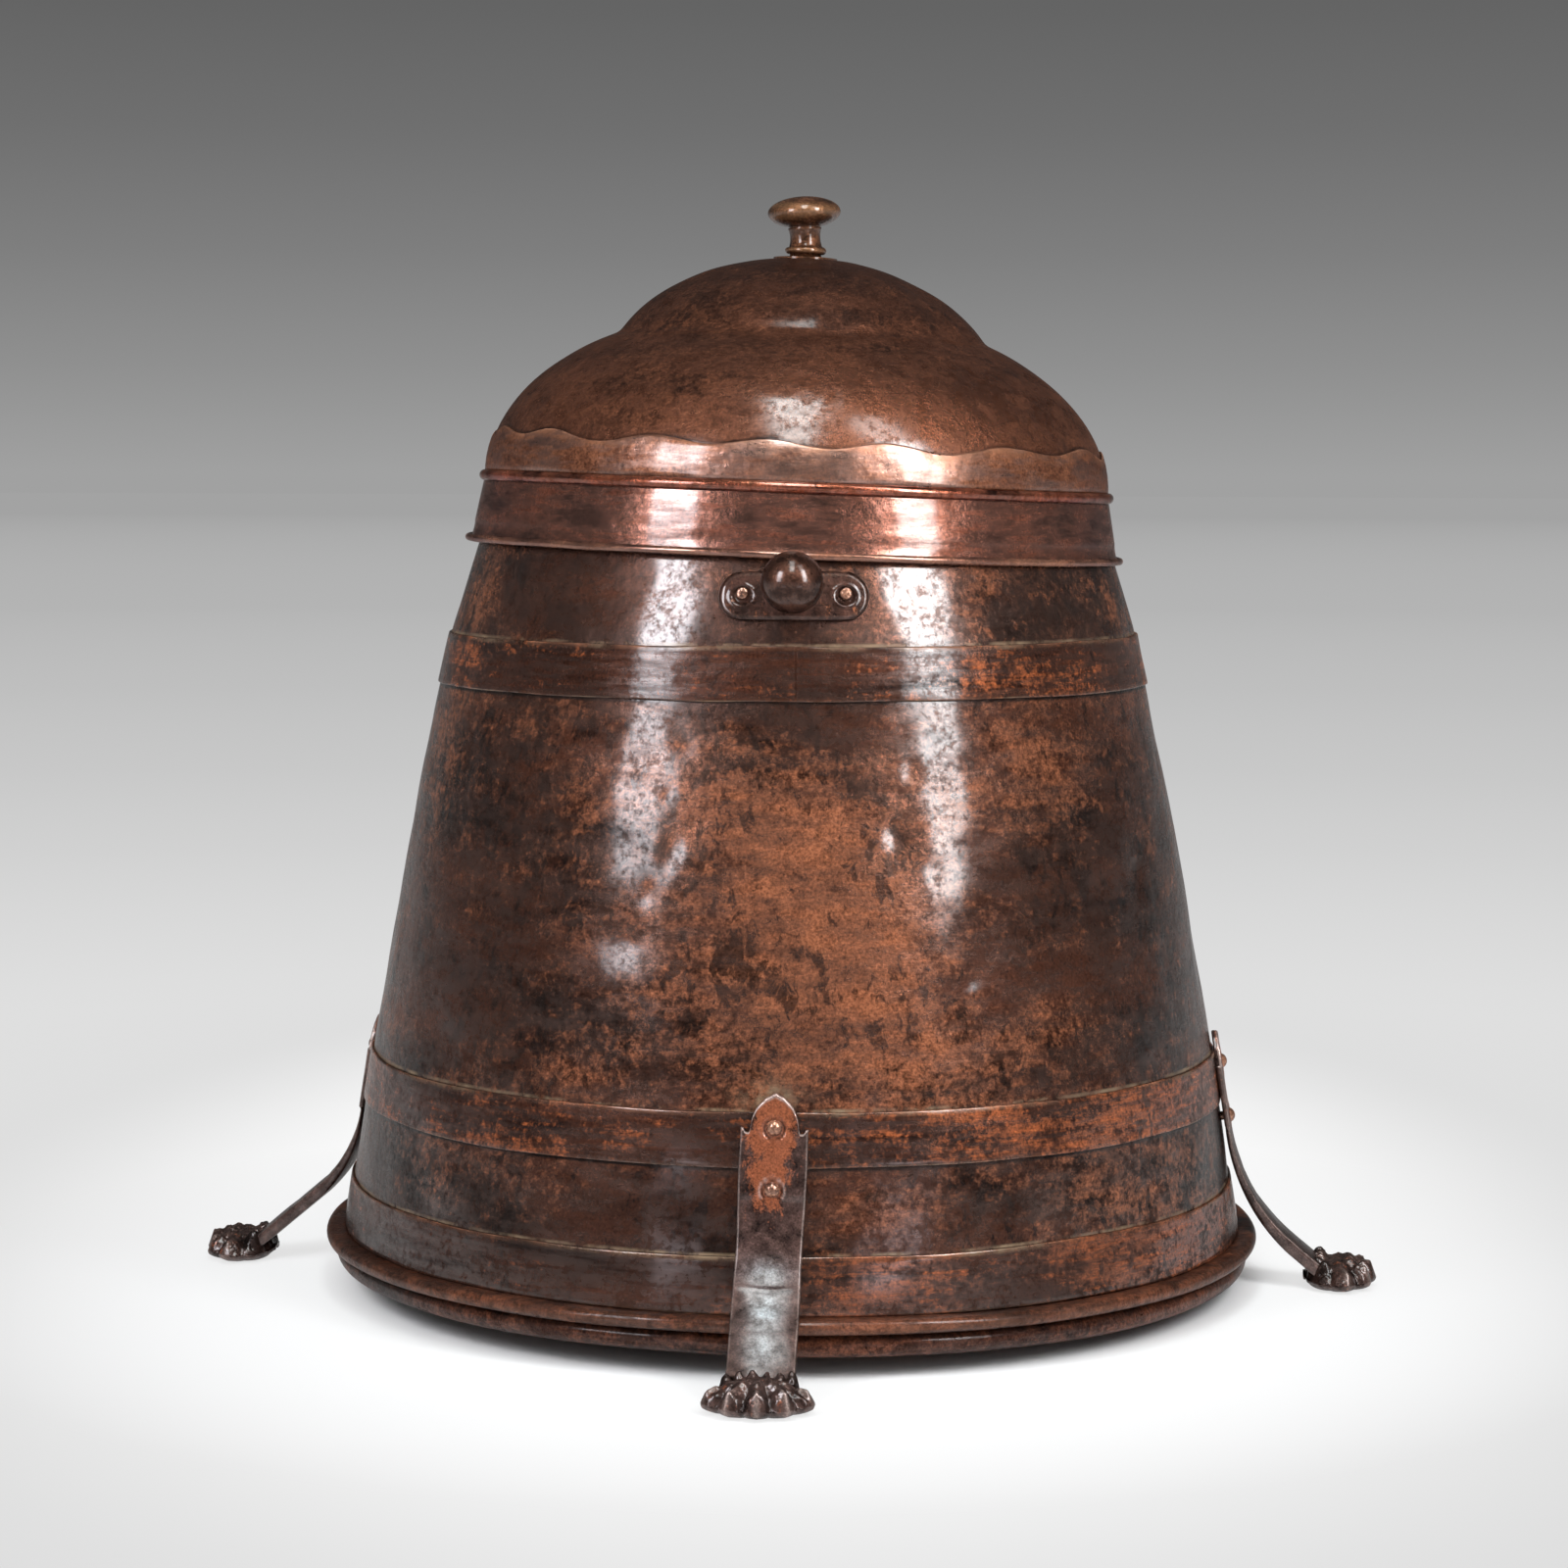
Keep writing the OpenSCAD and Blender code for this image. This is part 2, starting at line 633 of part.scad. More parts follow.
// One foot rivet through a stack of sheet: domed head outside, flat head inside
module foot_rivet(stack) {
    inner_head_r = foot_rivet_head_d / 2;
    inner_z = stack + sagitta(inner_head_r, wall_r(strap_mid_z)) + solder_gap;
    translate([0, 0, strap_t])
        rivet_head(foot_rivet_head_d, foot_rivet_head_h);
    translate([0, 0, -inner_z])
        cylinder(h = inner_z + strap_t, d = foot_rivet_d, $fn = 32);
    translate([0, 0, -inner_z - rove_t])
        cylinder(h = rove_t, r = inner_head_r, $fn = 32);
}

// Rivets that hold the feet
module foot_rivets() {
    color(worn_copper)
        for (i = [0:3])
            rotate([0, 0, foot_turns[i] - 90])
                strap_slant(i)
                    for (z = foot_rivet_zs)
                        at_strap(z)
                            foot_rivet((strap_x(z) - wall_r(z) + wall_t) / cos(seat_lean));
}

// Plate with round ends, bent to the neck and bored for two rivets and the knob
module handle_plate(turn) {
    straight = plate_l - plate_h;
    color(dark_bronze)
        difference() {
            intersection() {
                rotate_extrude($fn = 128)
                    polygon(concat(
                        wall_line(neck_z + 1, mouth_roll_z, solder_gap, 1),
                        flip(wall_line(neck_z + 1, mouth_roll_z, plate_off, 1))));
                at_wall(turn, handle_z)
                    translate([0, 0, -10])
                        linear_extrude(height = 20)
                            union() {
                                square([plate_h, straight], center = true);
                                for (side = [-1, 1])
                                    translate([0, side * straight / 2])
                                        circle(d = plate_h, $fn = 48);
                            }
            }
            at_wall(turn, handle_z)
                shank_hole(ball_shank_d);
            for (side = [-1, 1])
                at_wall(turn + side * handle_pitch_turn, handle_z) {
                    shank_hole(plate_rivet_d);
                    translate([0, 0, plate_off - plate_seat_depth])
                        cylinder(h = plate_t, d = plate_seat_d, $fn = 32);
                }
        }
}

// Ball on a turned stem, its shank set over a rove inside the wall
module handle_knob(turn) {
    shank_in = wall_t + sagitta(ball_shank_d / 2 + rove_rim, wall_r(handle_z)) + solder_gap + rove_t;
    color(dark_bronze)
        at_wall(turn, handle_z) {
            translate([0, 0, ball_reach])
                sphere(d = ball_d);
            translate([0, 0, plate_off])
                cylinder(h = ball_reach - plate_off, d1 = ball_stem_d + 4, d2 = ball_stem_d - 2);
            translate([0, 0, -shank_in])
                cylinder(h = shank_in + ball_reach, d = ball_shank_d);
            translate([0, 0, -shank_in - rove_t])
                cylinder(h = rove_t, d = ball_shank_d + 2);
        }
}

// Rivets of both handle plates, with flat heads in sunk seats
module handle_rivets() {
    inner_head_r = plate_rivet_head_d / 2;
    inner_z = wall_t + sagitta(inner_head_r, wall_r(handle_z)) + solder_gap;
    seat_z = plate_off - plate_seat_depth;
    color(worn_copper)
        for (a = handle_turns)
            for (side = [-1, 1])
                at_wall(a + side * handle_pitch_turn, handle_z) {
                    translate([0, 0, seat_z])
                        cylinder(h = plate_seat_depth + 0.3, d = plate_rivet_head_d, $fn = 32);
                    translate([0, 0, -inner_z])
                        cylinder(h = inner_z + seat_z, d = plate_rivet_d, $fn = 32);
                    translate([0, 0, -inner_z - rove_t])
                        cylinder(h = rove_t, r = inner_head_r, $fn = 32);
                }
}

// Roves that the two handle shanks are set over
module handle_roves() {
    rove_r = ball_shank_d / 2 + rove_rim;
    inner_z = wall_t + sagitta(rove_r, wall_r(handle_z)) + solder_gap;
    color(worn_copper)
        for (a = handle_turns)
            at_wall(a, handle_z)
                translate([0, 0, -inner_z - rove_t])
                    difference() {
                        cylinder(h = rove_t, r = rove_r);
                        shank_hole(ball_shank_d);
                    }
}

// Raised dome: crown, crease, shoulder and upright wall, its lower edge turned in as a seat ledge
module lid_dome() {
    color(copper)
        lid_place()
            difference() {
                rotate_extrude($fn = 128)
                    polygon(concat(
                        [[ledge_r, 0], [dome_r, 0]],
                        dome_line(0),
                        flip(dome_line(-dome_t)),
                        [[dome_r - dome_t, dome_t], [ledge_r, dome_t]]));
                translate([0, 0, apex_z])
                    shank_hole(knob_shank_d);
            }
}

// Sheet ring over the foot of the dome, its upper edge cut in waves
module lid_skirt() {
    n = wave_count * wave_columns;
    m = 2 * skirt_layers + 2;
    points = [for (i = [0:n - 1]) for (p = skirt_section(360 * i / n))
        [p[0] * sin(360 * i / n), -p[0] * cos(360 * i / n), p[1]]];
    faces = concat(
        [for (i = [0:n - 1]) for (k = [0:m - 1])
            [i * m + k, i * m + (k + 1) % m, (i + 1) % n * m + k]],
        [for (i = [0:n - 1]) for (k = [0:m - 1])
            [i * m + (k + 1) % m, (i + 1) % n * m + (k + 1) % m, (i + 1) % n * m + k]]);
    color(worn_copper)
        lid_place()
            polyhedron(points, faces);
}

// Half-round strip over the joint of skirt and collar
module lid_bead() {
    color(bright_copper)
        lid_place()
            rotate_extrude($fn = 128)
                intersection() {
                    translate([bead_r, bead_z])
                        circle(d = bead_d, $fn = 32);
                    translate([bead_in_x, bead_z - bead_d])
                        square([bead_d, 2 * bead_d]);
                }
}

// Collar that hangs over the neck, flared at the bottom and rolled outwards on a wire
module lid_collar() {
    color(worn_copper)
        lid_place()
            rotate_extrude($fn = 128)
                polygon(concat(
                    [[bead_r, bead_z - solder_gap]],
                    flare_line(0),
                    rim_arc(roll_in_r),
                    flip(rim_arc(rim_d / 2)),
                    flip(flare_line(-skirt_t)),
                    [[bead_r - skirt_t, bead_z - solder_gap]]));
}

// Wire inside the rolled rim
module lid_rim_wire() {
    color(dark_bronze)
        lid_place()
            rotate_extrude($fn = 128)
                translate([rim_x, -rim_drop])
                    circle(r = roll_in_r - solder_gap, $fn = 24);
}

// Turned knob: foot and ring stand on the lid's axis, stem and flattened head lean a little
module lid_knob() {
    shank_low_z = apex_z - dome_t - sagitta(knob_shank_d / 2 + rove_rim, crown_r) - solder_gap - rove_t;
    head_z = knob_ring_h / 2 + knob_stem_h + knob_head_h / 2 - 1;
    head_r = knob_d / 2;
    edge_r = knob_head_h / 2;
    color(dark_bronze)
        lid_place() {
            translate([0, 0, shank_low_z])
                cylinder(h = knob_foot_z - shank_low_z + 1, d = knob_shank_d);
            translate([0, 0, shank_low_z - 1])
                cylinder(h = 1, d = knob_shank_d + 2);
            translate([0, 0, knob_foot_z])
                cylinder(h = knob_foot_h + 0.5, d = knob_stem_d + 0.8);
            translate([0, 0, knob_ring_z])
                rotate_extrude() {
                    translate([knob_ring_d / 2 - knob_ring_h / 2, 0])
                        circle(d = knob_ring_h, $fn = 32);
                    translate([0, -knob_ring_h / 2])
                        square([knob_ring_d / 2 - knob_ring_h / 2, knob_ring_h]);
                }
            translate([0, 0, knob_ring_z])
                rotate([0, -knob_lean, 0])
                    rotate_extrude()
                        polygon(concat(
                            [[0, 0], [knob_stem_d / 2 + 0.6, 0]],
                            [for (i = [0:8]) let (s = i / 8)
                                [knob_stem_d / 2 + 0.8 * pow(2 * s - 1, 2),
                                 knob_ring_h / 2 + s * (knob_stem_h - 1)]],
                            [for (i = [1:12]) let (a = -72 + 162 * i / 12)
                                [head_r * cos(a), head_z + edge_r * sin(a)]]));
        }
}

// Dished washer between knob and crown
module lid_knob_washer() {
    hole_r = knob_shank_d / 2 + hole_gap;
    steps = 4;
    function under(off) = [for (i = [0:steps])
        let (x = hole_r + (knob_washer_d / 2 - hole_r) * i / steps)
            [x, crown_mid_z + crown_v * sqrt(1 - pow(x / crown_r, 2)) + off]];
    color(dark_bronze)
        lid_place()
            rotate_extrude()
                polygon(concat(under(solder_gap), flip(under(solder_gap + knob_washer_t))));
}

// Rove that the knob's shank is set over, inside the crown
module lid_knob_rove() {
    rove_r = knob_shank_d / 2 + rove_rim;
    color(worn_copper)
        lid_place()
            translate([0, 0, apex_z - dome_t - sagitta(rove_r, crown_r) - solder_gap - rove_t])
                difference() {
                    cylinder(h = rove_t, r = rove_r);
                    shank_hole(knob_shank_d);
                }
}

body_shell();
mouth_wire();
upper_band();
lower_band();
plinth_band();
base_flange();
base_ring();
base_pan();
foot(0);  // foot_front
foot(1);  // foot_right
foot(2);  // foot_back
foot(3);  // foot_left
foot_rivets();
handle_plate(handle_turns[0]);  // handle_plate_front
handle_plate(handle_turns[1]);  // handle_plate_back
handle_knob(handle_turns[0]);  // handle_knob_front
handle_knob(handle_turns[1]);  // handle_knob_back
handle_rivets();
handle_roves();
lid_dome();
lid_skirt();
lid_bead();
lid_collar();
lid_rim_wire();
lid_knob();
lid_knob_washer();
lid_knob_rove();
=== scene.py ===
import bpy
import numpy as np
from numpy import concatenate as join
from math import acos, asin, atan, atan2, cos, degrees, hypot, pi, radians, sin, sqrt, tan
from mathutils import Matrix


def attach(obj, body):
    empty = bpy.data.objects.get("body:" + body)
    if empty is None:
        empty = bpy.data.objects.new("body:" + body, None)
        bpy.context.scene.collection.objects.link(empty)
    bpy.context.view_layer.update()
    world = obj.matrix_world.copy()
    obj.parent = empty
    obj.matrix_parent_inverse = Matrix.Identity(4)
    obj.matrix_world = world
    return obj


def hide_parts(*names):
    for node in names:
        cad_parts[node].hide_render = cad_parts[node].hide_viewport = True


# Round copper coal scuttle with a loose domed lid, on four cast lion-paw straps.
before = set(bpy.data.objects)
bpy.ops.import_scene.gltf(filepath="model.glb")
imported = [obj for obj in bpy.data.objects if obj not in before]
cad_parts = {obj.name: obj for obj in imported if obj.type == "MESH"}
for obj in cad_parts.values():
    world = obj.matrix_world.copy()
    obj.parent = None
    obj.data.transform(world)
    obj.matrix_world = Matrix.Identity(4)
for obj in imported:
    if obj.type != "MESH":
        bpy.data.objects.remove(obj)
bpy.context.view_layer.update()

# ---------------------------------------------------------------- Studio
# Camera at the height of the lid's rim, looking slightly down. Softboxes stand high and low in
# front to the left and right, one hangs over the front, one high on the right, and two thin ones
# stand near the floor. The floor is white paper that darkens to grey with distance, with a painted
# pool of light round the object.
stage = bpy.context.scene
stage.view_settings.view_transform = "Standard"


def place_new(name, data):
    """New object with this data in the scene."""
    item = bpy.data.objects.new(name, data)
    stage.collection.objects.link(item)
    return item


# Side of the photo, focal length and middle of the view across, in pixels of the photo
PHOTO_SIDE, FOCAL, CENTRE = 1600, 3707, 809.4
camera_data = bpy.data.cameras.new("camera")
camera_data.sensor_width = 36
camera_data.lens = 36 * FOCAL / PHOTO_SIDE
camera_data.shift_x = -(CENTRE - PHOTO_SIDE / 2) / PHOTO_SIDE
camera = place_new("camera", camera_data)
stage.camera = camera
camera.location = (0, -1.668, 0.370)
camera.rotation_euler = (radians(90 - 4.89), 0, 0)
camera.rotation_euler.rotate_axis("Z", radians(0.21))

# Lamps: name, place, aim, width, height, power and colour. The two fills only brighten, and the
# gloss of the metal doesn't show them.
LAMPS = (
    ("softbox_left", (-0.62, -0.70, 0.77), (0, 0, 0.49), 0.27, 0.30, 4.2, (0.93, 0.94, 1.0)),
    ("softbox_left_low", (-0.64, -0.72, 0.50), (0, 0, 0.22), 0.25, 0.24, 1.7, (0.93, 0.94, 1.0)),
    ("softbox_right", (0.62, -0.70, 0.83), (0, 0, 0.49), 0.23, 0.42, 6.2, (0.96, 0.98, 1.0)),
    ("softbox_right_low", (0.64, -0.72, 0.50), (0, 0, 0.22), 0.21, 0.24, 1.9, (0.96, 0.98, 1.0)),
    ("softbox_left_floor", (-0.47, -0.94, 0.115), (0, 0, 0.05), 0.22, 0.05, 0.13, (1.0, 0.84, 0.88)),
    ("softbox_right_floor", (0.42, -0.97, 0.115), (0, 0, 0.05), 0.30, 0.05, 0.20, (1.0, 0.84, 0.88)),
    ("softbox_right_high", (0.42, -0.55, 1.10), (0, 0, 0.40), 0.25, 0.35, 1.7, (1.0, 0.93, 0.90)),
    ("softbox_top", (0.0, -0.62, 1.25), (0, -0.10, 0.35), 0.26, 0.80, 7.2, (0.93, 1.0, 1.0)),
    ("front_fill", (0.05, -1.95, 0.95), (0, 0, 0.3), 1.6, 1.0, 9.0, (1.0, 1.0, 1.0)),
    ("back_fill", (0.3, 2.4, 1.6), (0, 0, 0.3), 1.8, 1.2, 14.0, (1.0, 1.0, 1.0)))
for name, place, aim, width, height, power, colour in LAMPS:
    lamp = bpy.data.lights.new(name, "AREA")
    lamp.shape = "RECTANGLE"
    lamp.size, lamp.size_y, lamp.energy, lamp.color = width, height, power, colour
    box = place_new(name, lamp)
    box.location = place
    box.visible_camera = False
    box.visible_glossy = not name.endswith("fill")
    way = np.subtract(aim, place)
    box.rotation_euler = (atan2(hypot(way[0], way[1]), -way[2]), 0, atan2(-way[0], way[1]))


def linear(code):
    """Linear colour of an sRGB hex code: each part is divided by 12.92 below 0.04045, and above
    it is (part + 0.055) / 1.055 to the power 2.4."""
    parts = [int(code[i:i + 2], 16) / 255 for i in (1, 3, 5)]
    return [p / 12.92 if p <= 0.04045 else ((p + 0.055) / 1.055) ** 2.4 for p in parts] + [1.0]


def blank(owner):
    """Turns on the nodes of a material or a world, clears them and returns the tree."""
    owner.use_nodes = True
    owner.node_tree.nodes.clear()
    return owner.node_tree


def add(tree, kind, sockets=(), out=0, **settings):
    """Adds one shader node. sockets holds the inputs in their order, or by name or number: a
    value, a colour's hex code, or another node's output, which is linked. Returns the output
    with the number or name out, where the node has any."""
    node = tree.nodes.new("ShaderNode" + kind)
    for key, value in settings.items():
        setattr(node, key, value)
    for key, value in sockets.items() if isinstance(sockets, dict) else enumerate(sockets):
        if isinstance(value, bpy.types.NodeSocket):
            tree.links.new(value, node.inputs[key])
        else:
            node.inputs[key].default_value = linear(value) if isinstance(value, str) else value
    return node.outputs[out] if node.outputs else None


def plain_view(tree, *kinds):
    """1 on rays of these kinds, which see the background as drawn, and 0 on all others, which
    light the object: the maximum of the Light Path outputs with these names."""
    rays = add(tree, "LightPath").node.outputs
    seen = rays[kinds[0]]
    for kind in kinds[1:]:
        seen = add(tree, "Math", (seen, rays[kind]), operation="MAXIMUM")
    return seen


world = bpy.data.worlds.new("studio")
stage.world = world
tree = blank(world)
way = add(tree, "SeparateXYZ", (add(tree, "TexCoord", out="Generated"),), out=2)
sky = add(tree, "ValToRGB", (add(tree, "MapRange", (way, -0.02, 0.6)),))
stops = sky.node.color_ramp.elements
stops[0].position, stops[0].color = 0.032, linear("#a1a1a1")
stops[1].color = linear("#4e4e4e")
for place, code in ((0.077, "#909090"), (0.129, "#7e7e7e"), (0.181, "#6f6f6f"), (0.233, "#646464"),
                    (0.42, "#545454")):
    stops.new(place).color = linear(code)
shine = add(tree, "Background", (sky, 1.0))
fill = add(tree, "Background", ("#747474", 1.0))
seen = plain_view(tree, "Is Camera Ray", "Is Glossy Ray", "Is Transmission Ray")
add(tree, "OutputWorld", (add(tree, "MixShader", (seen, fill, shine)),))

floor_mesh = bpy.data.meshes.new("floor")
ring_at = np.linspace(0, 2 * pi, 96, endpoint=False)
floor_mesh.from_pydata([(60 * cos(a), 60 * sin(a), -0.0002) for a in ring_at], [], [list(range(96))])
floor = place_new("floor", floor_mesh)
paper = bpy.data.materials.new("white_paper_floor")
tree = blank(paper)
spot = add(tree, "TexCoord", out="Object")
far = add(tree, "VectorMath", (spot,), out="Value", operation="LENGTH")
fade = add(tree, "ValToRGB", (add(tree, "Math", (far, 30.0), operation="DIVIDE"),))
stops = fade.node.color_ramp.elements
stops[0].color = linear("#dcdcdc")
stops[1].color = linear("#a3a3a3")
for place, code in ((0.015, "#dedede"), (0.033, "#dfdfdf"), (0.047, "#d9d9d9"), (0.066, "#d1d1d1"),
                    (0.098, "#c8c8c8"), (0.155, "#bfbfbf"), (0.28, "#b4b4b4")):
    stops.new(place).color = linear(code)
# Painted pool of light round the object, and a dark ring under its base where the paper gives no light
painted_light_pool = add(tree, "Mapping", {"Vector": spot, "Location": (0, -0.23, 0), "Scale": (2.63, 1.54, 0)})
painted_light_pool = add(tree, "VectorMath", (painted_light_pool,), out="Value", operation="LENGTH")
painted_light_pool = add(tree, "MapRange", (painted_light_pool, 1.22, 0.55), interpolation_type="SMOOTHSTEP")
white = add(tree, "Mix", {0: painted_light_pool, 6: fade, 7: "#fcfcfc"}, out=2, data_type="RGBA")
lit = add(tree, "BsdfDiffuse", ("#f6f6f6",))
glow = add(tree, "Emission", (white, 1.0))
under = add(tree, "VectorMath", (spot, (0.006, 0, 0)), out="Value", operation="DISTANCE")
under = add(tree, "MapRange", (under, 0.193, 0.226), interpolation_type="SMOOTHSTEP")
near = add(tree, "MapRange", (far, 0.226, 0.40, 0.70, 1.0))
near = add(tree, "Math", (near, under), operation="MULTIPLY")
seen = plain_view(tree, "Is Camera Ray", "Is Glossy Ray")
near = add(tree, "Math", (near, seen), operation="MULTIPLY")
add(tree, "OutputMaterial", (add(tree, "MixShader", (near, lit, glow)),))
floor_mesh.materials.append(paper)

# ---------------------------------------------------------------- Tub wall
# One sheet of copper, raised to a taper, planished and left to darken. Its mouth edge is rolled
# inwards over an iron wire. Years of carrying have dented it and rubbed the front orange.
WALL_LOW, NECK, MOUTH, SHEET = 24.9, 300.0, 352.4, 1.4
LOW_R, TAPER, BULGE, NECK_R, NECK_TAPER = 205.3, 49.7, 11.6, 155.6, 0.31
ROLL_R, ROLL_FACE_R, ROLL_Z = 3.0, 3.14, 349.4
NECK_LEAN = atan(NECK_TAPER)


def wall_r(z):
    """Outer radius of the wall in mm: from its foot to the neck a straight line less TAPER, plus
    BULGE x s(1 - s), where s is the share of that height; above the neck it loses NECK_TAPER for
    each mm of height."""
    s = (np.asarray(z, float) - WALL_LOW) / (NECK - WALL_LOW)
    return np.where(s > 1, NECK_R - NECK_TAPER * (z - NECK), LOW_R - TAPER * s + BULGE * s * (1 - s))


ROLL_X = float(wall_r(ROLL_Z)) - ROLL_R / cos(NECK_LEAN)


def turned(a, r, z):
    """Points at azimuth a in degrees from the front towards +X, radius r and height z, in mm."""
    a, r, z = np.broadcast_arrays(np.radians(a), r, z)
    return np.stack([r * np.sin(a), -r * np.cos(a), z], -1)


def ripple(points, wavelength, seed):
    """Gentle unevenness between about -1 and 1: the scaled sum of 14 cosines along random
    directions in space, all near the wavelength in mm, so that it closes on itself round the
    object."""
    waves = 14
    rng = np.random.default_rng(seed)
    ways = rng.normal(size=(3, waves))
    ways *= 2 * pi / wavelength * rng.uniform(0.6, 1.5, waves) / np.linalg.norm(ways, axis=0)
    return np.cos(points @ ways + rng.uniform(0, 6.28, waves)).sum(-1) / sqrt(waves / 2) / 1.6


def bell(x, width):
    """Gaussian bell: e to the power minus (x / width) squared."""
    return np.exp(-(np.asarray(x) / width) ** 2)


def ramp(x, start, width):
    """Even rise from 0 at start to 1 at start + width, where width may be negative."""
    return np.clip((x - start) / width, 0, 1)


def turn_apart(a, b):
    """Difference of two azimuths in degrees, between -180 and 180."""
    return (np.asarray(a) - b + 180) % 360 - 180


# Dents: azimuth, height, half width round the wall, half height, depth
DENTS = [(14.4, 219, 4, 5, 0.7), (14.9, 226, 9, 14, 0.6), (23.7, 160, 5, 4, 0.6), (27.5, 188, 8, 8, 0.4),
         (-16.9, 213, 5, 7, 0.5), (-22.4, 176, 7, 6, 0.4), (-15.7, 257, 7, 6, 0.4), (22, 257, 6, 6, 0.4),
         (-9.2, 201, 4, 4, 0.3), (36, 140, 6, 7, 0.3), (-35, 232, 8, 10, 0.4), (5, 130, 9, 5, 0.3),
         (-18, 236, 3, 3, 0.3), (-20, 195, 3, 4, 0.3), (17, 246, 4, 5, 0.4), (20, 205, 4, 4, 0.3),
         (19, 143, 4, 4, 0.3)]
dent_rng = np.random.default_rng(11)
DENTS += zip(np.linspace(62, 300, 17) + dent_rng.uniform(-6, 6, 17),
             *(dent_rng.uniform(low, high, 17) for low, high in ((125, 265), (4, 9), (4, 9), (0.3, 0.7))))


def sheet_play(a, z):
    """How far in mm the wall sheet stands off its true shape: three ripples and the dents, faded
    out at the foot and the mouth where other parts hold it round."""
    p = turned(a, wall_r(z), z)
    play = 0.42 * ripple(p, 115, 3) + 0.20 * ripple(p, 38, 4) + 0.035 * ripple(p, 15, 5)
    for a0, z0, w, h, d in DENTS:
        play = play - d * bell(turn_apart(a, a0) * pi / 180 * wall_r(z0), w) * bell(z - z0, h)
    return play * ramp(z, 27, 20) * ramp(z, 345, -20)


def shell(points, round_v=True, **masks):
    """Triangles between the neighbours of a grid of points (rows v, columns u). The last column
    is joined to the first, and with round_v the last row too. Points that coincide are welded,
    which closes poles and seams, and the faces are turned so that the enclosed volume is
    positive. A mask holds a value for each point or each row, and is 0 on rows past its end."""
    rows, columns = points.shape[:2]
    u = np.arange(columns)[None]
    v = np.arange(rows if round_v else rows - 1)[:, None]
    u2, v2 = (u + 1) % columns, (v + 1) % rows
    a, b, c, d = [(p * columns + q).ravel() for p, q in ((v, u), (v, u2), (v2, u2), (v2, u))]
    tris = join([np.stack([a, b, c], 1), np.stack([a, c, d], 1)])
    flat = points.reshape(-1, 3)
    # One whole number for each place on a grid of half a micron
    key = np.round(flat * 2000).astype(np.int64)
    key = key[:, 0] * 4_000_003 ** 2 + key[:, 1] * 4_000_003 + key[:, 2]
    _, first, same = np.unique(key, return_index=True, return_inverse=True)
    flat, tris = flat[first], same.ravel()[tris]
    tris = tris[(tris[:, 0] != tris[:, 1]) & (tris[:, 1] != tris[:, 2]) & (tris[:, 2] != tris[:, 0])]
    corner = flat[tris]
    if np.einsum("ij,ij->", corner[:, 0], np.cross(corner[:, 1], corner[:, 2])) < 0:
        tris = tris[:, ::-1]
    full = {name: np.zeros((rows, columns)) for name in masks}
    for name, mask in masks.items():
        full[name][:len(mask)] = np.reshape(mask, (len(mask), -1))
    return flat, tris, {name: mask.ravel()[first] for name, mask in full.items()}


def make(name, shells, material, body, nodes):
    """Joins shells into one smooth mesh in metres, stores their masks as point attributes, and
    tells the frame which body it rides on and which solids it stands for."""
    mesh = bpy.data.meshes.new(name)
    start, points, tris = 0, [], []
    for p, t, _ in shells:
        points.append(p)
        tris.append(t + start)
        start += len(p)
    mesh.from_pydata(join(points) * 0.001, [], join(tris).tolist())
    mesh.shade_smooth()
    for key in sorted({k for s in shells for k in s[2]}):
        values = join([s[2].get(key, np.zeros(len(s[0]))) for s in shells])
        mesh.attributes.new(key, "FLOAT", "POINT").data.foreach_set("value", values.astype(np.float32))
    mesh.materials.append(material)
    piece = place_new(name, mesh)
    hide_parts(*nodes)
    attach(piece, body)


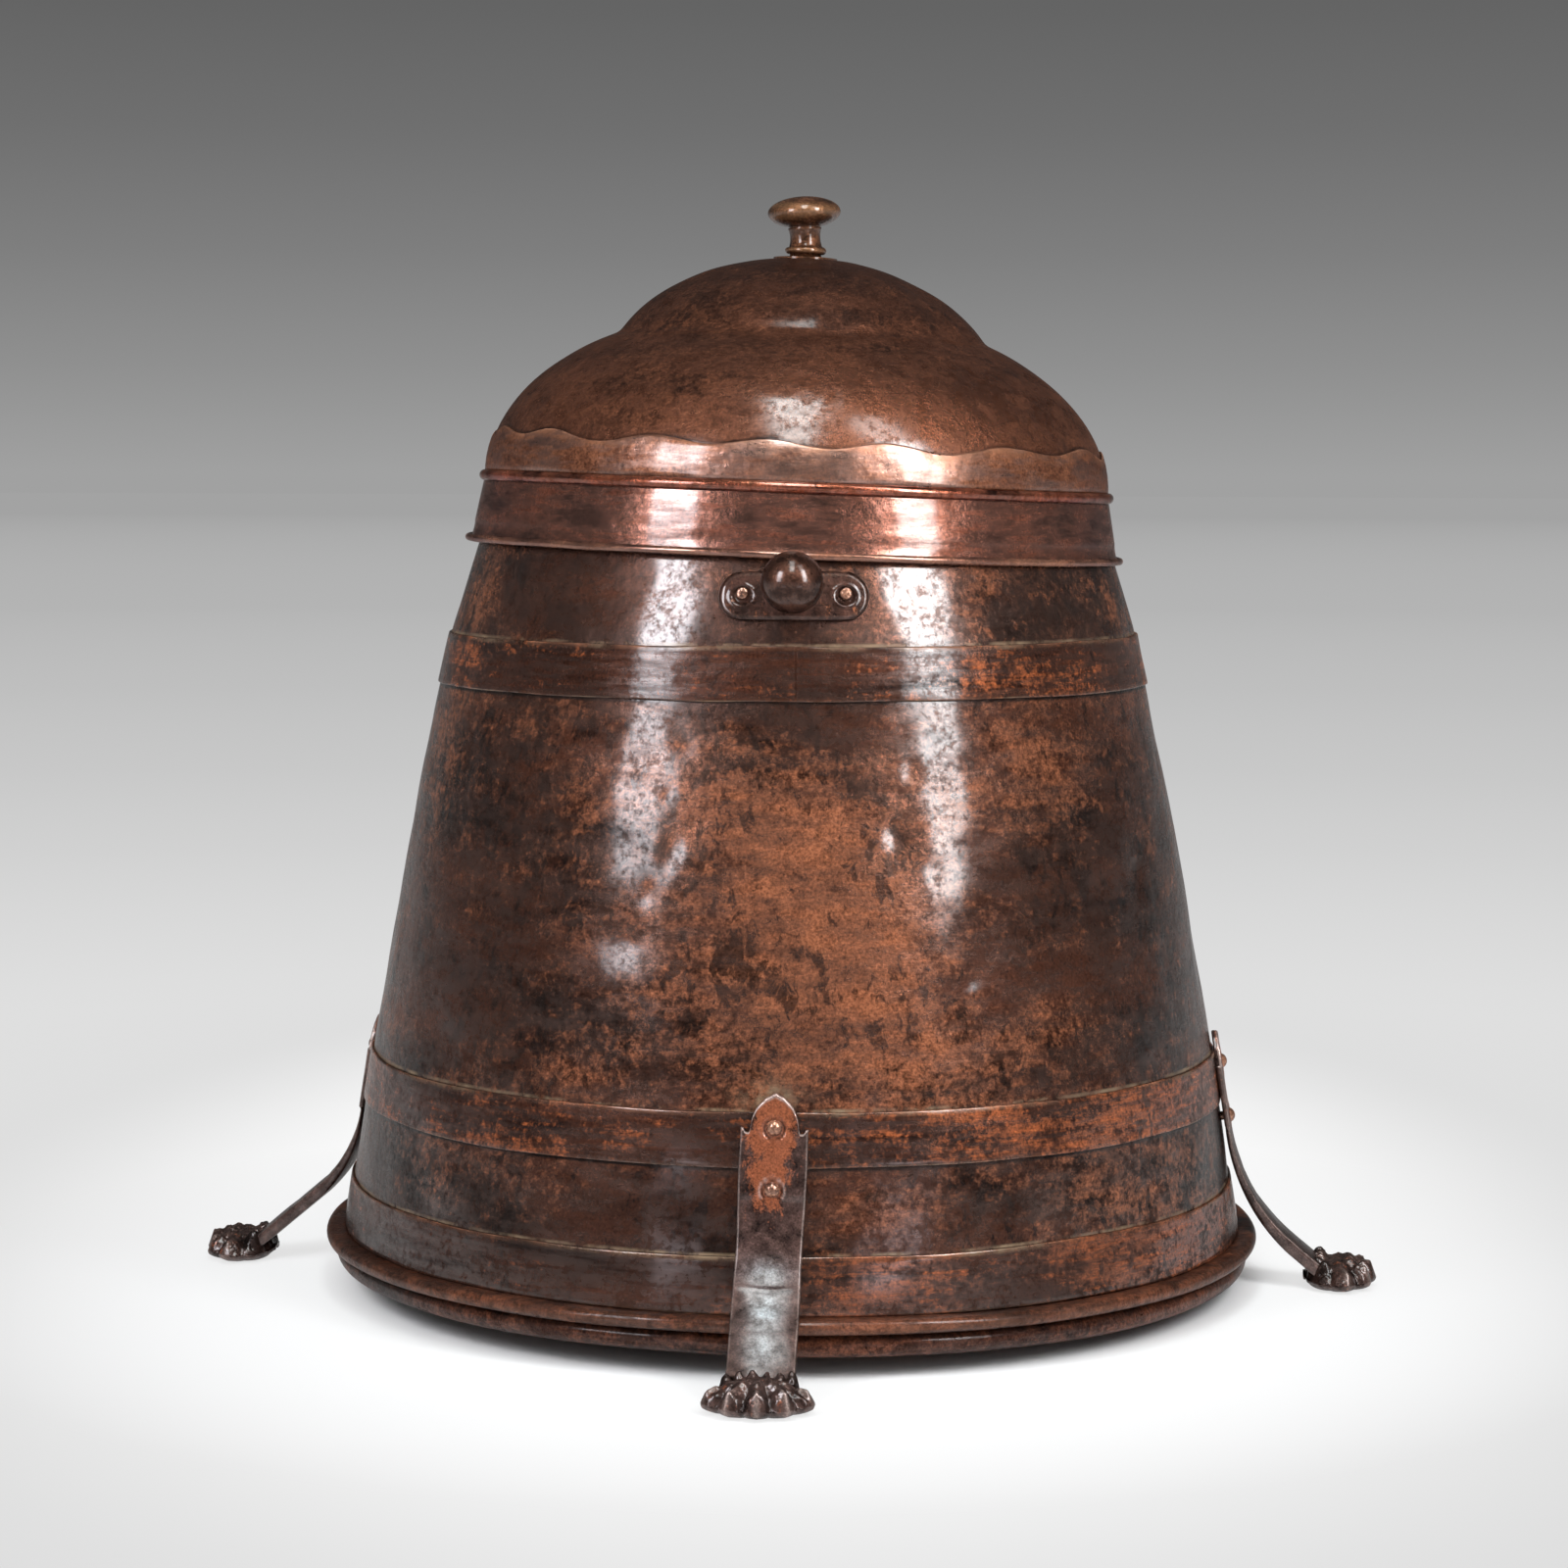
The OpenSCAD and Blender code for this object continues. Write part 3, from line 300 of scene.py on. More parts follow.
def patinated_copper(name, brown, orange, dark, rubbed=0.5, streaks=6.0, spots=0.5, gloss=0.26, metal=0.35,
                     coat=0.15, sheen=0.0, burnish_and_painted_highlight_tone="#5a443c", lines=(), joints=(), wander=0.25, grain=1.0,
                     soft=0.13, wax=1.0, pitted=0.82):
    """Copper sheet that has darkened with age and smoke, rubbed back to orange in streaks and
    spots. rubbed is the share of orange, streaks how much wider than tall its patches are,
    wander how unevenly they lie, soft how blurred their rims are, and spots the share of dark
    specks. gloss is the mean roughness of the metal and metal its metallic share; coat is the
    roughness of the film of wax and oxide over it, wax that film's weight, and pitted the share
    of it that has gone from the pits. sheen adds to the burnished
    patches, whose tone is burnish_and_painted_highlight_tone, and grain is the depth of the fine
    relief. lines and joints are heights in mm: grey-green dust has settled on a line, and the
    wall is dark along a joint. Masks on the mesh steer the rubbing, which also lays painted
    glows, the bright edges, the dust, the dark places, and the burnish, which also lays painted
    highlights."""
    material = bpy.data.materials.new(name)
    tree = blank(material)
    spot = add(tree, "TexCoord", out="Object")
    drawn, tall, wiped = (add(tree, "Mapping", {"Vector": spot, "Scale": (1, 1, flat)})
                          for flat in (streaks, 0.6, 9))
    # Noises, and what each draws at which size on the real piece
    broad, blotch, grit, patch, cloud, speck, herd, fine, dusty, skin, plan, wipe = (
        add(tree, "TexNoise", {"Vector": where, "Scale": scale, "Detail": detail, "Roughness": rough,
                               "Distortion": bend})
        for where, scale, detail, rough, bend in (
            (drawn, 16, 9, 0.75, 0.5),   # rubbed streaks about 60 mm long
            (spot, 95, 8, 0.75, 0.3),    # blotches of 10 mm that break them up
            (spot, 340, 5, 0.7, 0),      # grit and pits of 3 mm
            (spot, 9, 3, 0.5, 0),        # areas of 110 mm that are rubbed more or less
            (drawn, 7, 5, 0.6, 0),       # clouds of 140 mm, light and dark brown
            (tall, 150, 8, 0.72, 0.5),   # ragged dark specks of 2 to 8 mm, where the oxide held on
            (spot, 22, 3, 0.6, 0),       # clusters of specks, 45 mm across
            (spot, 900, 3, 0.6, 0),      # grain of the patina, about 1 mm
            (spot, 42, 8, 0.75, 0),      # gaps of 20 mm in the dust and in the bright edges
            (drawn, 40, 8, 0.68, 0),     # burnished patches of 25 mm
            (spot, 48, 3, 0.55, 0),      # planishing marks of 20 mm
            (wiped, 110, 4, 0.6, 0)))    # wiping marks of 9 mm, drawn out round the body
    rub, edge, grime, soot, burnish_and_painted_highlight_mask = (add(tree, "Attribute", out="Fac", attribute_name=mask)
                                       for mask in ("rub", "edge", "grime", "soot", "sheen"))
    bare = rub
    for pattern, share in ((broad, 0.5), (blotch, 0.45), (grit, 0.50), (patch, wander)):
        bare = add(tree, "Math", (pattern, share, bare), operation="MULTIPLY_ADD")
    middle = 0.725 + wander / 2 + 0.16 * (0.5 - rubbed)
    bare = add(tree, "MapRange", (bare, middle - soft, middle + soft), interpolation_type="SMOOTHSTEP")
    speck = add(tree, "Math", (herd, 0.5, speck), operation="MULTIPLY_ADD")
    speck = add(tree, "MapRange", (speck, 0.87 - 0.1 * spots, 0.96 - 0.1 * spots, 0, 0.8),
                interpolation_type="SMOOTHSTEP")
    bright = add(tree, "MapRange", (dusty, 0.60, 0.40, 0.15))
    edge = add(tree, "Math", (edge, bright), operation="MULTIPLY")
    height = add(tree, "SeparateXYZ", (spot,), out=2)
    near = {}
    for line in lines + joints:
        gap = add(tree, "Math", (height, line / 1000), operation="SUBTRACT")
        gap = add(tree, "Math", (gap,), operation="ABSOLUTE")
        near[line] = add(tree, "MapRange", (gap, 0.0012, 0.0002))
    for line in lines:
        grime = add(tree, "Math", (near[line], grime), operation="MAXIMUM")
    grime = add(tree, "Math", (grime, add(tree, "MapRange", (dusty, 0.44, 0.60))), operation="MULTIPLY")
    # Burnished patches, where the oxide is thin and handled smooth: grey-brown, more metallic and
    # glossier than the dull skin between them. The same mask paints highlights this way where lamps
    # reflect.
    burnish_and_painted_highlight_share = add(tree, "Math", (skin, sheen), operation="ADD")
    burnish_and_painted_highlight_share = add(tree, "Math", (burnish_and_painted_highlight_share, burnish_and_painted_highlight_mask), operation="ADD")
    burnish_and_painted_highlight_share = add(tree, "MapRange", (burnish_and_painted_highlight_share, 0.42, 0.66))
    metallic = add(tree, "MapRange", (burnish_and_painted_highlight_share, 0, 1, metal - 0.2, min(1.0, metal + 0.3)))
    # The tone, laid on from the darkest brown up
    tone = dark
    layers = [(add(tree, "MapRange", (cloud, 0.36, 0.64)), brown, "MIX"),
              (bare, orange, "MIX"),
              (speck, dark, "MIX"),
              (1.0, add(tree, "MapRange", (fine, 0.3, 0.7, 0.48, 1.55)), "MULTIPLY"),
              (edge, "#b07c60", "MIX"),
              (soot, "#140d0a", "MIX")]
    layers += [(near[line], "#140d0a", "MIX") for line in joints]
    layers += [(grime, "#84705a", "MIX"),
               (add(tree, "Math", (burnish_and_painted_highlight_share, 0.38), operation="MULTIPLY"), burnish_and_painted_highlight_tone, "MIX")]
    for share, over, blend in layers:
        tone = add(tree, "Mix", {0: share, 6: tone, 7: over}, out=2, data_type="RGBA", blend_type=blend)
    # The wax lies in a thin film on the burnished patches and has gone from the pits
    film = add(tree, "Math", (blotch, grit), operation="ADD")
    film = add(tree, "MapRange", (film, 0.84, 1.03, (1 - pitted) * wax, wax))
    slope = add(tree, "LayerWeight", {"Blend": 0.5}, out="Facing")
    for share in (add(tree, "MapRange", (burnish_and_painted_highlight_share, 0, 1, 0.42, 1.0)),
                  add(tree, "MapRange", (slope, 0.5, 0.86, 1.0, 0.05))):
        film = add(tree, "Math", (film, share), operation="MULTIPLY")
    dull = add(tree, "MapRange", (blotch, 0.3, 0.7, gloss - 0.06, gloss + 0.10))
    dull = add(tree, "Math", (burnish_and_painted_highlight_share, -0.10, dull), operation="MULTIPLY_ADD")
    dull = add(tree, "Math", (grime, 0.35, dull), operation="MULTIPLY_ADD")
    rise = plan
    for pattern, depth in ((grit, 0.34), (wipe, 0.15), (fine, 0.10)):
        rise = add(tree, "Math", (pattern, depth * grain, rise), operation="MULTIPLY_ADD")
    add(tree, "OutputMaterial", (add(tree, "BsdfPrincipled", {
        "Base Color": tone, "Roughness": dull, "Metallic": metallic,
        "Normal": add(tree, "Bump", {"Height": rise, "Distance": 0.0010}),
        "Specular IOR Level": 0.16, "Specular Tint": "#7c5a4a",
        "Coat Weight": film, "Coat Roughness": coat, "Coat IOR": 1.65}),))
    return material


# Dark oxide, bare orange places, black specks and a patchy wax that throws streaks of light.
# Dust lies over the three bands, and the wall is dark in a line under the lower and the upper one.
wall_copper = patinated_copper(
    "old_copper_sheet_wall", "#41251a", "#7c4b33", "#110b09", rubbed=0.33, streaks=3.0, spots=0.95,
    lines=(50.3, 108.7, 298.3), joints=(85.0, 274.7), wander=0.5, soft=0.11)

turns = np.linspace(0, 360, 560, endpoint=False)
up = join([np.linspace(WALL_LOW, NECK, 112), np.linspace(NECK, ROLL_Z - 1, 18)[1:]])[:, None]
round_roll = np.radians(np.linspace(8, 262, 14))[:, None]
down = join([np.linspace(345.6, NECK, 6), np.linspace(NECK, WALL_LOW, 24)[1:]])[:, None]
outside = turned(turns, wall_r(up) + sheet_play(turns, up), up)
rolled = turned(turns, ROLL_X + ROLL_FACE_R * np.cos(round_roll), ROLL_Z + ROLL_FACE_R * np.sin(round_roll))
inside = turned(turns, wall_r(down) - SHEET + sheet_play(turns, down), down)
# Rubbed orange over the front of the belly, darker under the upper band and at the neck's left
rub = 0.14 * bell(turn_apart(turns, 4), 26) * ramp(up, 60, 60) * ramp(up, 268, -50) - 0.04
rub = rub - 0.14 * bell(turn_apart(turns, 3), 9) * bell(up - 266, 9) - 0.05 * ramp(up, 240, -60)
rub = rub + (0.02 - 0.10 * bell(turn_apart(turns, -42), 26)) * ramp(up, 296, 6)
rub = join([rub, np.full((len(rolled), len(turns)), 0.05), np.full((len(down), len(turns)), -0.25)])
# Burnished at the neck, dull at the sides. The two bright stripes beside the front are painted
# highlights: greyer, more metallic and glossier where the side softboxes reflect.
off_front = np.abs(turn_apart(turns, 0))
sheen = 0.09 * ramp(up, 290, 10) + 0.15 * bell(off_front - 18, 9) * ramp(up, 150, 60)
sheen = sheen - 0.18 * ramp(off_front, 50, 22)
# Grey crust on the wall over the tip of the front strap
grime = 1.3 * bell(turn_apart(turns, -2.4) * 3.4, 11) * bell(up - 113, 6.5)
make("tub_wall", [shell(join([outside, rolled, inside]), rub=rub, sheen=sheen, grime=grime)],
     wall_copper, "body", ["body_shell"])

# Wires inside the mouth's roll and the lid's rim: drawn iron, blackened and scaly. The sheet hides
# them, so they keep the shape of their solids.
blackened_iron = bpy.data.materials.new("blackened_iron_wire")
tree = blank(blackened_iron)
scale_noise = add(tree, "TexNoise", {"Vector": add(tree, "TexCoord", out="Object"), "Scale": 400, "Detail": 5,
                                     "Roughness": 0.6})
tone = add(tree, "Mix", {0: scale_noise, 6: "#2c2624", 7: "#54463c"}, out=2, data_type="RGBA")
add(tree, "OutputMaterial", (add(tree, "BsdfPrincipled", {
    "Base Color": tone, "Metallic": 0.8, "Roughness": 0.5,
    "Normal": add(tree, "Bump", {"Height": scale_noise, "Distance": 0.0003})}),))


def dress(material, *nodes):
    """Gives the solids their material and leaves their shape as it is."""
    for name in nodes:
        mesh = bpy.data.objects[name].data
        mesh.materials.clear()
        mesh.materials.append(material)


dress(blackened_iron, "mouth_wire", "lid_rim_wire")

# ---------------------------------------------------------------- Bands
# Strips of the same copper, bent round the wall and soldered. The upper band's ends meet at the
# front, those of the two lower ones at the back right. Their edges are rubbed bright, and the
# upper ones carry a painted highlight as well.
LOWER_LOW, LOWER_TOP, PLINTH_LOW, PLINTH_TOP, LEDGE_DROOP = 85.7, 108.2, 27.0, 50.0, 2.0
# Oxide and bare orange, both drawn out along the strip
band_copper = patinated_copper(
    "old_copper_strip", "#3e2217", "#904e2c", "#0f0908", rubbed=0.34, streaks=9.0, spots=0.6, gloss=0.24,
    wander=0.55, sheen=0.02, soft=0.08)


def sag(a):
    """Share of the base's droop at azimuth a: a bell with its top at the front right, where the
    base has been knocked."""
    return bell(turn_apart(a, 50), 55)


def band(name, low, high, joint, node, seed, rub, shine=0.0):
    """Strip on the wall from height low to high: its section is a loop up the outer face and
    down the inner face with rounded corners, and each edge wanders by about 0.2 mm. The outer
    face dips by 0.4 mm along the joint. rub is how bare it is, and shine how
    burnished it is towards the front right, where that burnish is also a painted highlight."""
    thick, gap, ease = 1.2, 0.1, 0.35
    face = gap + thick
    near = joint + np.array([-1.2, -0.5, -0.25, -0.12, 0.12, 0.25, 0.5, 1.2])
    a = np.sort(join([np.arange(0, 360, 0.64), near % 360]))
    # Loop round the section: share of the height, inset of height, stand-off from the wall
    loop = [(0, ease * 2, face)] + [(s, 0, face) for s in (0.1, 0.3, 0.5, 0.7, 0.9)]
    loop += [(1, -ease * 2, face), (1, -ease * 0.6, face - ease * 0.25), (1, 0, face - ease),
             (1, 0, gap + 0.2), (1, -0.2, gap), (0.75, 0, gap), (0.25, 0, gap), (0, 0.2, gap),
             (0, 0, gap + 0.2), (0, 0, face - ease), (0, ease * 0.6, face - ease * 0.25)]
    share, inset, off = np.array(loop).T[:, :, None]
    row = np.arange(len(loop))[:, None]
    rim = turned(a, 180.0, 0 * a)
    bottom = low + 0.22 * ripple(rim, 70, seed)
    top = high + 0.22 * ripple(rim, 70, seed + 1)
    z = bottom + (top - bottom) * share + inset
    if node == "plinth_band":
        z = np.maximum(z - LEDGE_DROOP * sag(a) * (1 - share), PLINTH_LOW - LEDGE_DROOP * sag(a))
    slit = bell(turn_apart(a, joint) * pi / 180 * wall_r(low), 0.35)
    swell = 0.10 * ripple(turned(a, wall_r(z), z), 30, seed + 2)
    r = wall_r(z) + sheet_play(a, z) + off + np.where(off > 0.6, swell - 0.4 * slit, 0)
    # Bright wear and dust on the outer corners, the upper corner partly a painted highlight where it
    # catches the light; dirt in the joint, and the underside of the lower edge is dark
    edge = np.zeros(z.shape)
    edge[[0, 6, 7, 16]] = [[0.1], [0.4], [0.9], [0.25]]
    line = turned(a, 190.0, low + 0 * a)
    edge = edge * (0.55 + 0.45 * ripple(line, 34, seed + 3))
    grime = 0.9 * np.isin(row, (6, 7, 16)) * np.clip(0.3 + ripple(line, 60, seed + 4), 0, 1)
    soot = np.maximum(0.8 * slit * (off > 0.3), 0.9 * np.isin(row, (14, 15)))
    make(name, [shell(turned(a, r, z), rub=rub - 0.07 * bell(turn_apart(a, -45), 28) + 0 * z,
                      edge=np.clip(edge, 0, 1), grime=grime, soot=soot,
                      sheen=shine * bell(turn_apart(a, 25), 45) - 0.3 * slit + 0 * z)],
         band_copper, "body", [node])


band("band_upper", 275.3, 297.9, 0.3, "upper_band", 21, -0.03)
# The lower band and more so the plinth are burnished at the front right, which also paints a highlight there
band("band_lower", LOWER_LOW, LOWER_TOP, 135, "lower_band", 31, -0.03, 0.03)
band("band_plinth", PLINTH_LOW, PLINTH_TOP, 135, "plinth_band", 41, -0.04, 0.12)

# ---------------------------------------------------------------- Base
# A ledge of sheet with a rolled lip runs round the foot of the wall. Under it sits a half-round
# moulding, and a floor pan with a turned-up edge closes the tub.
# Dull, grainy and dark with soot, its wax nearly gone
base_copper = patinated_copper(
    "old_copper_base", "#341f18", "#6a3e2b", "#100a09", rubbed=0.32, streaks=8.0, gloss=0.36, wander=0.3,
    grain=1.6, wax=0.45)


def wandering_ring(loop, step, middle_r, waves, wobble, seed):
    """Ring whose section is a closed loop, given as radius and height in mm: azimuths and
    points. The section wanders in radius and in height by the two parts of wobble, as ripples
    with the wavelengths waves round the circle of radius middle_r."""
    a = np.arange(0, 360, step)
    r, z = np.array(loop).T[:, :, None]
    middle = turned(a, middle_r, 0 * a)
    play, rise = (size * ripple(middle, wave, seed + k) for k, (size, wave) in enumerate(zip(wobble, waves)))
    return a, turned(a, r + play, z + rise)


def base_loop(name, loop, node, droop, seed, **masks):
    """Ring of the base, which hangs down by droop mm on its knocked side."""
    a, points = wandering_ring(loop, 0.75, 200.0, (120, 90), (0.25, 0.125), seed)
    points[..., 2] -= droop * sag(a)
    make(name, [shell(points, **masks)], base_copper, "body", [node])


def arc(x, z, r, start, end, steps):
    """Points on a circle of radius r round (x, z), from angle start to end in degrees."""
    t = np.radians(np.linspace(start, end, steps))
    return [(x + r * cos(k), z + r * sin(k)) for k in t]


lip = arc(211.5, 23.7, 3.2, 90, -180, 22)
base_loop("ledge_and_lip", [(205.4, 26.7), (205.6, 26.9), (208, 26.9)] + lip
          + [(208.3, 24.9), (205.6, 24.9), (205.4, 25.1)], "base_flange", LEDGE_DROOP, 51,
          edge=[0] * 3 + [0.05] * 6 + [0.15] * 5 + [0.0] * 11 + [0] * 3)
nose = arc(205.2, 15.6, 4.9, -90, 90, 20)
base_loop("foot_moulding", [(200.6, 10.7), (202, 10.7)] + nose
          + [(206.3, 20.5), (206.3, 24.8), (200.6, 24.8)], "base_ring", 3.0, 61)
# Flat black-brown soot
pan_copper = patinated_copper("sooty_copper_pan", "#4a3229", "#7a4930", "#241c1c", rubbed=0.25, streaks=1.0,
                              spots=0.8, gloss=0.5, coat=0.45)
dress(pan_copper, "base_pan")

# ---------------------------------------------------------------- Feet
# Four bronze castings: a flat strap with a pointed, shouldered top that is riveted over the lower
# band, then bends outwards and runs into a lion's paw. Edges and toes are rubbed bright.
SEAT_SLOPE = float(wall_r(LOWER_LOW) - wall_r(LOWER_TOP)) / (LOWER_TOP - LOWER_LOW)
SEAT_LEAN, ANKLE_LEAN = atan(SEAT_SLOPE), radians(50)
STRAP_T, ANKLE_T, BEND_Z, MID_Z = 3.0, 6.5, 73.0, 89.8
HALF_W, TIP_W, TIP_H, SCOOP_R, SHOULDER_Z, RIVET_Z = 14, 10, 14.3, 2, 102.3, (102.3, 77.3)
PAW_REACH, HEEL, PAW_W, PAW_H = 21.5, 14.0, 47.5, 14.0


def strap_x(z):
    """Radius of the strap's inner face on its straight seat down the lower band."""
    return float(wall_r(LOWER_LOW)) + 1.4 + SEAT_SLOPE * (LOWER_LOW - z)


def strap_path(paw):
    """Outer face and inner face of the strap, as radius and height, from the bend under its seat
    to the paw at radius paw: an arc that turns from the seat's lean to 50 degrees, and a
    straight run into the paw. The arc's radius makes the end meet the paw."""
    start = np.array([strap_x(BEND_Z) + STRAP_T * cos(SEAT_LEAN), BEND_Z + STRAP_T * sin(SEAT_LEAN)])
    end = np.array([paw - HEEL / 4, PAW_H * 0.82])
    turn = np.array([cos(SEAT_LEAN) - cos(ANKLE_LEAN), sin(SEAT_LEAN) - sin(ANKLE_LEAN)])
    run = np.array([sin(ANKLE_LEAN), -cos(ANKLE_LEAN)])
    radius, length = np.linalg.solve(np.array([turn, run]).T, end - start)
    s = np.linspace(0, 1, 76)[:, None]
    lean = SEAT_LEAN + (ANKLE_LEAN - SEAT_LEAN) * s
    outer = start + radius * join([cos(SEAT_LEAN) - np.cos(lean), sin(SEAT_LEAN) - np.sin(lean)], 1)
    thick = STRAP_T + (ANKLE_T - STRAP_T) * s
    inner = outer - thick * join([np.cos(lean), np.sin(lean)], 1)
    k = np.linspace(0, 1, 30)[1:, None]
    return [join([face, face[-1] + k * length * run]) for face in (outer, inner)]


def strap_top(y):
    """Height of the strap's outline at y mm from its middle line: a pointed arch between two
    scoops of 2 mm radius, and square shoulders outside them."""
    y = np.abs(y)
    bow = (TIP_W ** 2 + TIP_H ** 2) / (2 * TIP_W)
    arch = SHOULDER_Z + np.sqrt(np.maximum(0, bow ** 2 - (y + bow - TIP_W) ** 2))
    scoop = SHOULDER_Z - np.sqrt(np.maximum(0, SCOOP_R ** 2 - (y - TIP_W - 1) ** 2))
    return np.where(y <= TIP_W, arch, np.where(y < 13, scoop, SHOULDER_Z))


def strap_shell(paw, seed):
    """Closed strap. Columns run across the outer face and back across the inner one; rows start
    on the outline of the top, where both faces meet, and end inside the paw. The edges are
    bevelled, a shallow ring is sunk round each rivet, and three creases cross the bend."""
    y = join([[-14, -13.6, -13.2], np.linspace(-13, 13, 53), [13.2, 13.6, 14]])
    outer, inner = strap_path(paw)
    low = 92.0
    drop = join([[0, 0, 0.012, 0.04, 0.09], np.linspace(0.15, 1, 16)])[:, None]
    inset = np.array([1.0, 0.45, 0.12] + [0.0] * 28)[:, None]
    top = strap_top(y) + 0.12 * np.sin(y * 1.7 + seed)
    run = np.linspace(low, BEND_Z, 12)[1:-1, None]
    z_seat = join([top - (top - low) * drop, run + 0 * y])
    x_in = strap_x(0) - SEAT_SLOPE * z_seat
    x_out = x_in + STRAP_T / cos(SEAT_LEAN)
    bevel = np.maximum(0, np.abs(y) - 13.2) ** 2 * 1.1 + 0.5 * (y / HALF_W) ** 2
    crown = 0.75 * ((y + 2.5) / HALF_W) ** 2
    ring, groove, collar = 0.0, 0.0, 0.0
    for z0 in RIVET_Z:
        far = np.hypot(y, z_seat - z0)
        ring = ring + 0.6 * bell(far - 4.2, 0.7) - 0.25 * bell(far - 5.5, 0.7)
        groove = np.maximum(groove, bell(far - 4.0, 0.6))
        collar = np.maximum(collar, bell(far - 5.2, 0.45))
    x_out = x_out - bevel - ring - STRAP_T * 0.5 * inset
    x_in = x_in + STRAP_T * 0.5 * inset
    across = join([0 * z_seat, 0 * outer[:, :1] * y]) + y
    face_out, face_in = [
        np.stack([join([seat, face[:, :1] + ease]), across,
                  join([z_seat, face[:, 1:] + 0 * y])], -1)
        for seat, face, ease in ((x_out, outer, -bevel - crown), (x_in, inner, bevel))]
    sway = 1 + 0.012 * np.sin(face_out[:, :1, 2] / 7 + seed) - 0.03 * bell(face_out[:, :1, 2] - 48, 14)
    face_out[..., 1] *= sway
    face_in[..., 1] *= sway
    face_out[..., 0] += 0.18 * ripple(face_out, 26, seed) * ramp(face_out[..., 2], 100, -20)
    # Creases: height, depth, half length
    for z0, deep, long in ((39.6, 0.50, 1.3), (27.0, 0.22, 1.6), (53.0, 0.15, 2.0)):
        face_out[..., 0] -= deep * bell(face_out[..., 2] - z0 - (y / HALF_W) ** 2 * 1.5, long) * bell(y, 13)
    points = join([face_out, face_in[:, ::-1]], 1)
    side = np.abs(join([y, y[::-1]]))
    outside = join([np.ones(len(y)), np.zeros(len(y))])
    z = points[..., 2]
    seat = np.s_[:len(groove), :len(y)]
    tip, soot = np.zeros(z.shape), np.zeros(z.shape)
    tip[1:4] = 0.9
    tip[seat] = np.maximum(tip[seat], 0.7 * collar * bell(z_seat - RIVET_Z[1], 12))
    soot[seat] = 0.85 * groove
    edge = 0.8 * bell(side - 13.55, 0.3) * (0.75 + 0.25 * ripple(points, 18, seed + 1))
    edge = np.maximum(edge, tip) * outside
    rub = ramp(z, 58, 25) * outside * bell(side, 12)
    rub = rub - 0.3 * ramp(z, SHOULDER_Z, -25) * ramp(points[..., 1], 3, 6)
    # Pale patches below the bend, a painted reflection of the light above in three blobs: height,
    # strength, half height, half width
    pale = sum(m * bell(z - z0, h) * bell(points[..., 1], w) for z0, m, h, w in (
        (46, 0.4, 5, 10), (33, 0.8, 5, 6), (21, 0.5, 5, 5))) * outside
    # The last row closes the end in its own middle
    points = join([points, np.broadcast_to(points[-1:].mean(1, keepdims=True), points[-1:].shape)])
    masks = dict(edge=edge, rub=rub, pale=pale, soot=soot)
    return points, {key: np.clip(join([mask, mask[-1:]]), 0, 1) for key, mask in masks.items()}


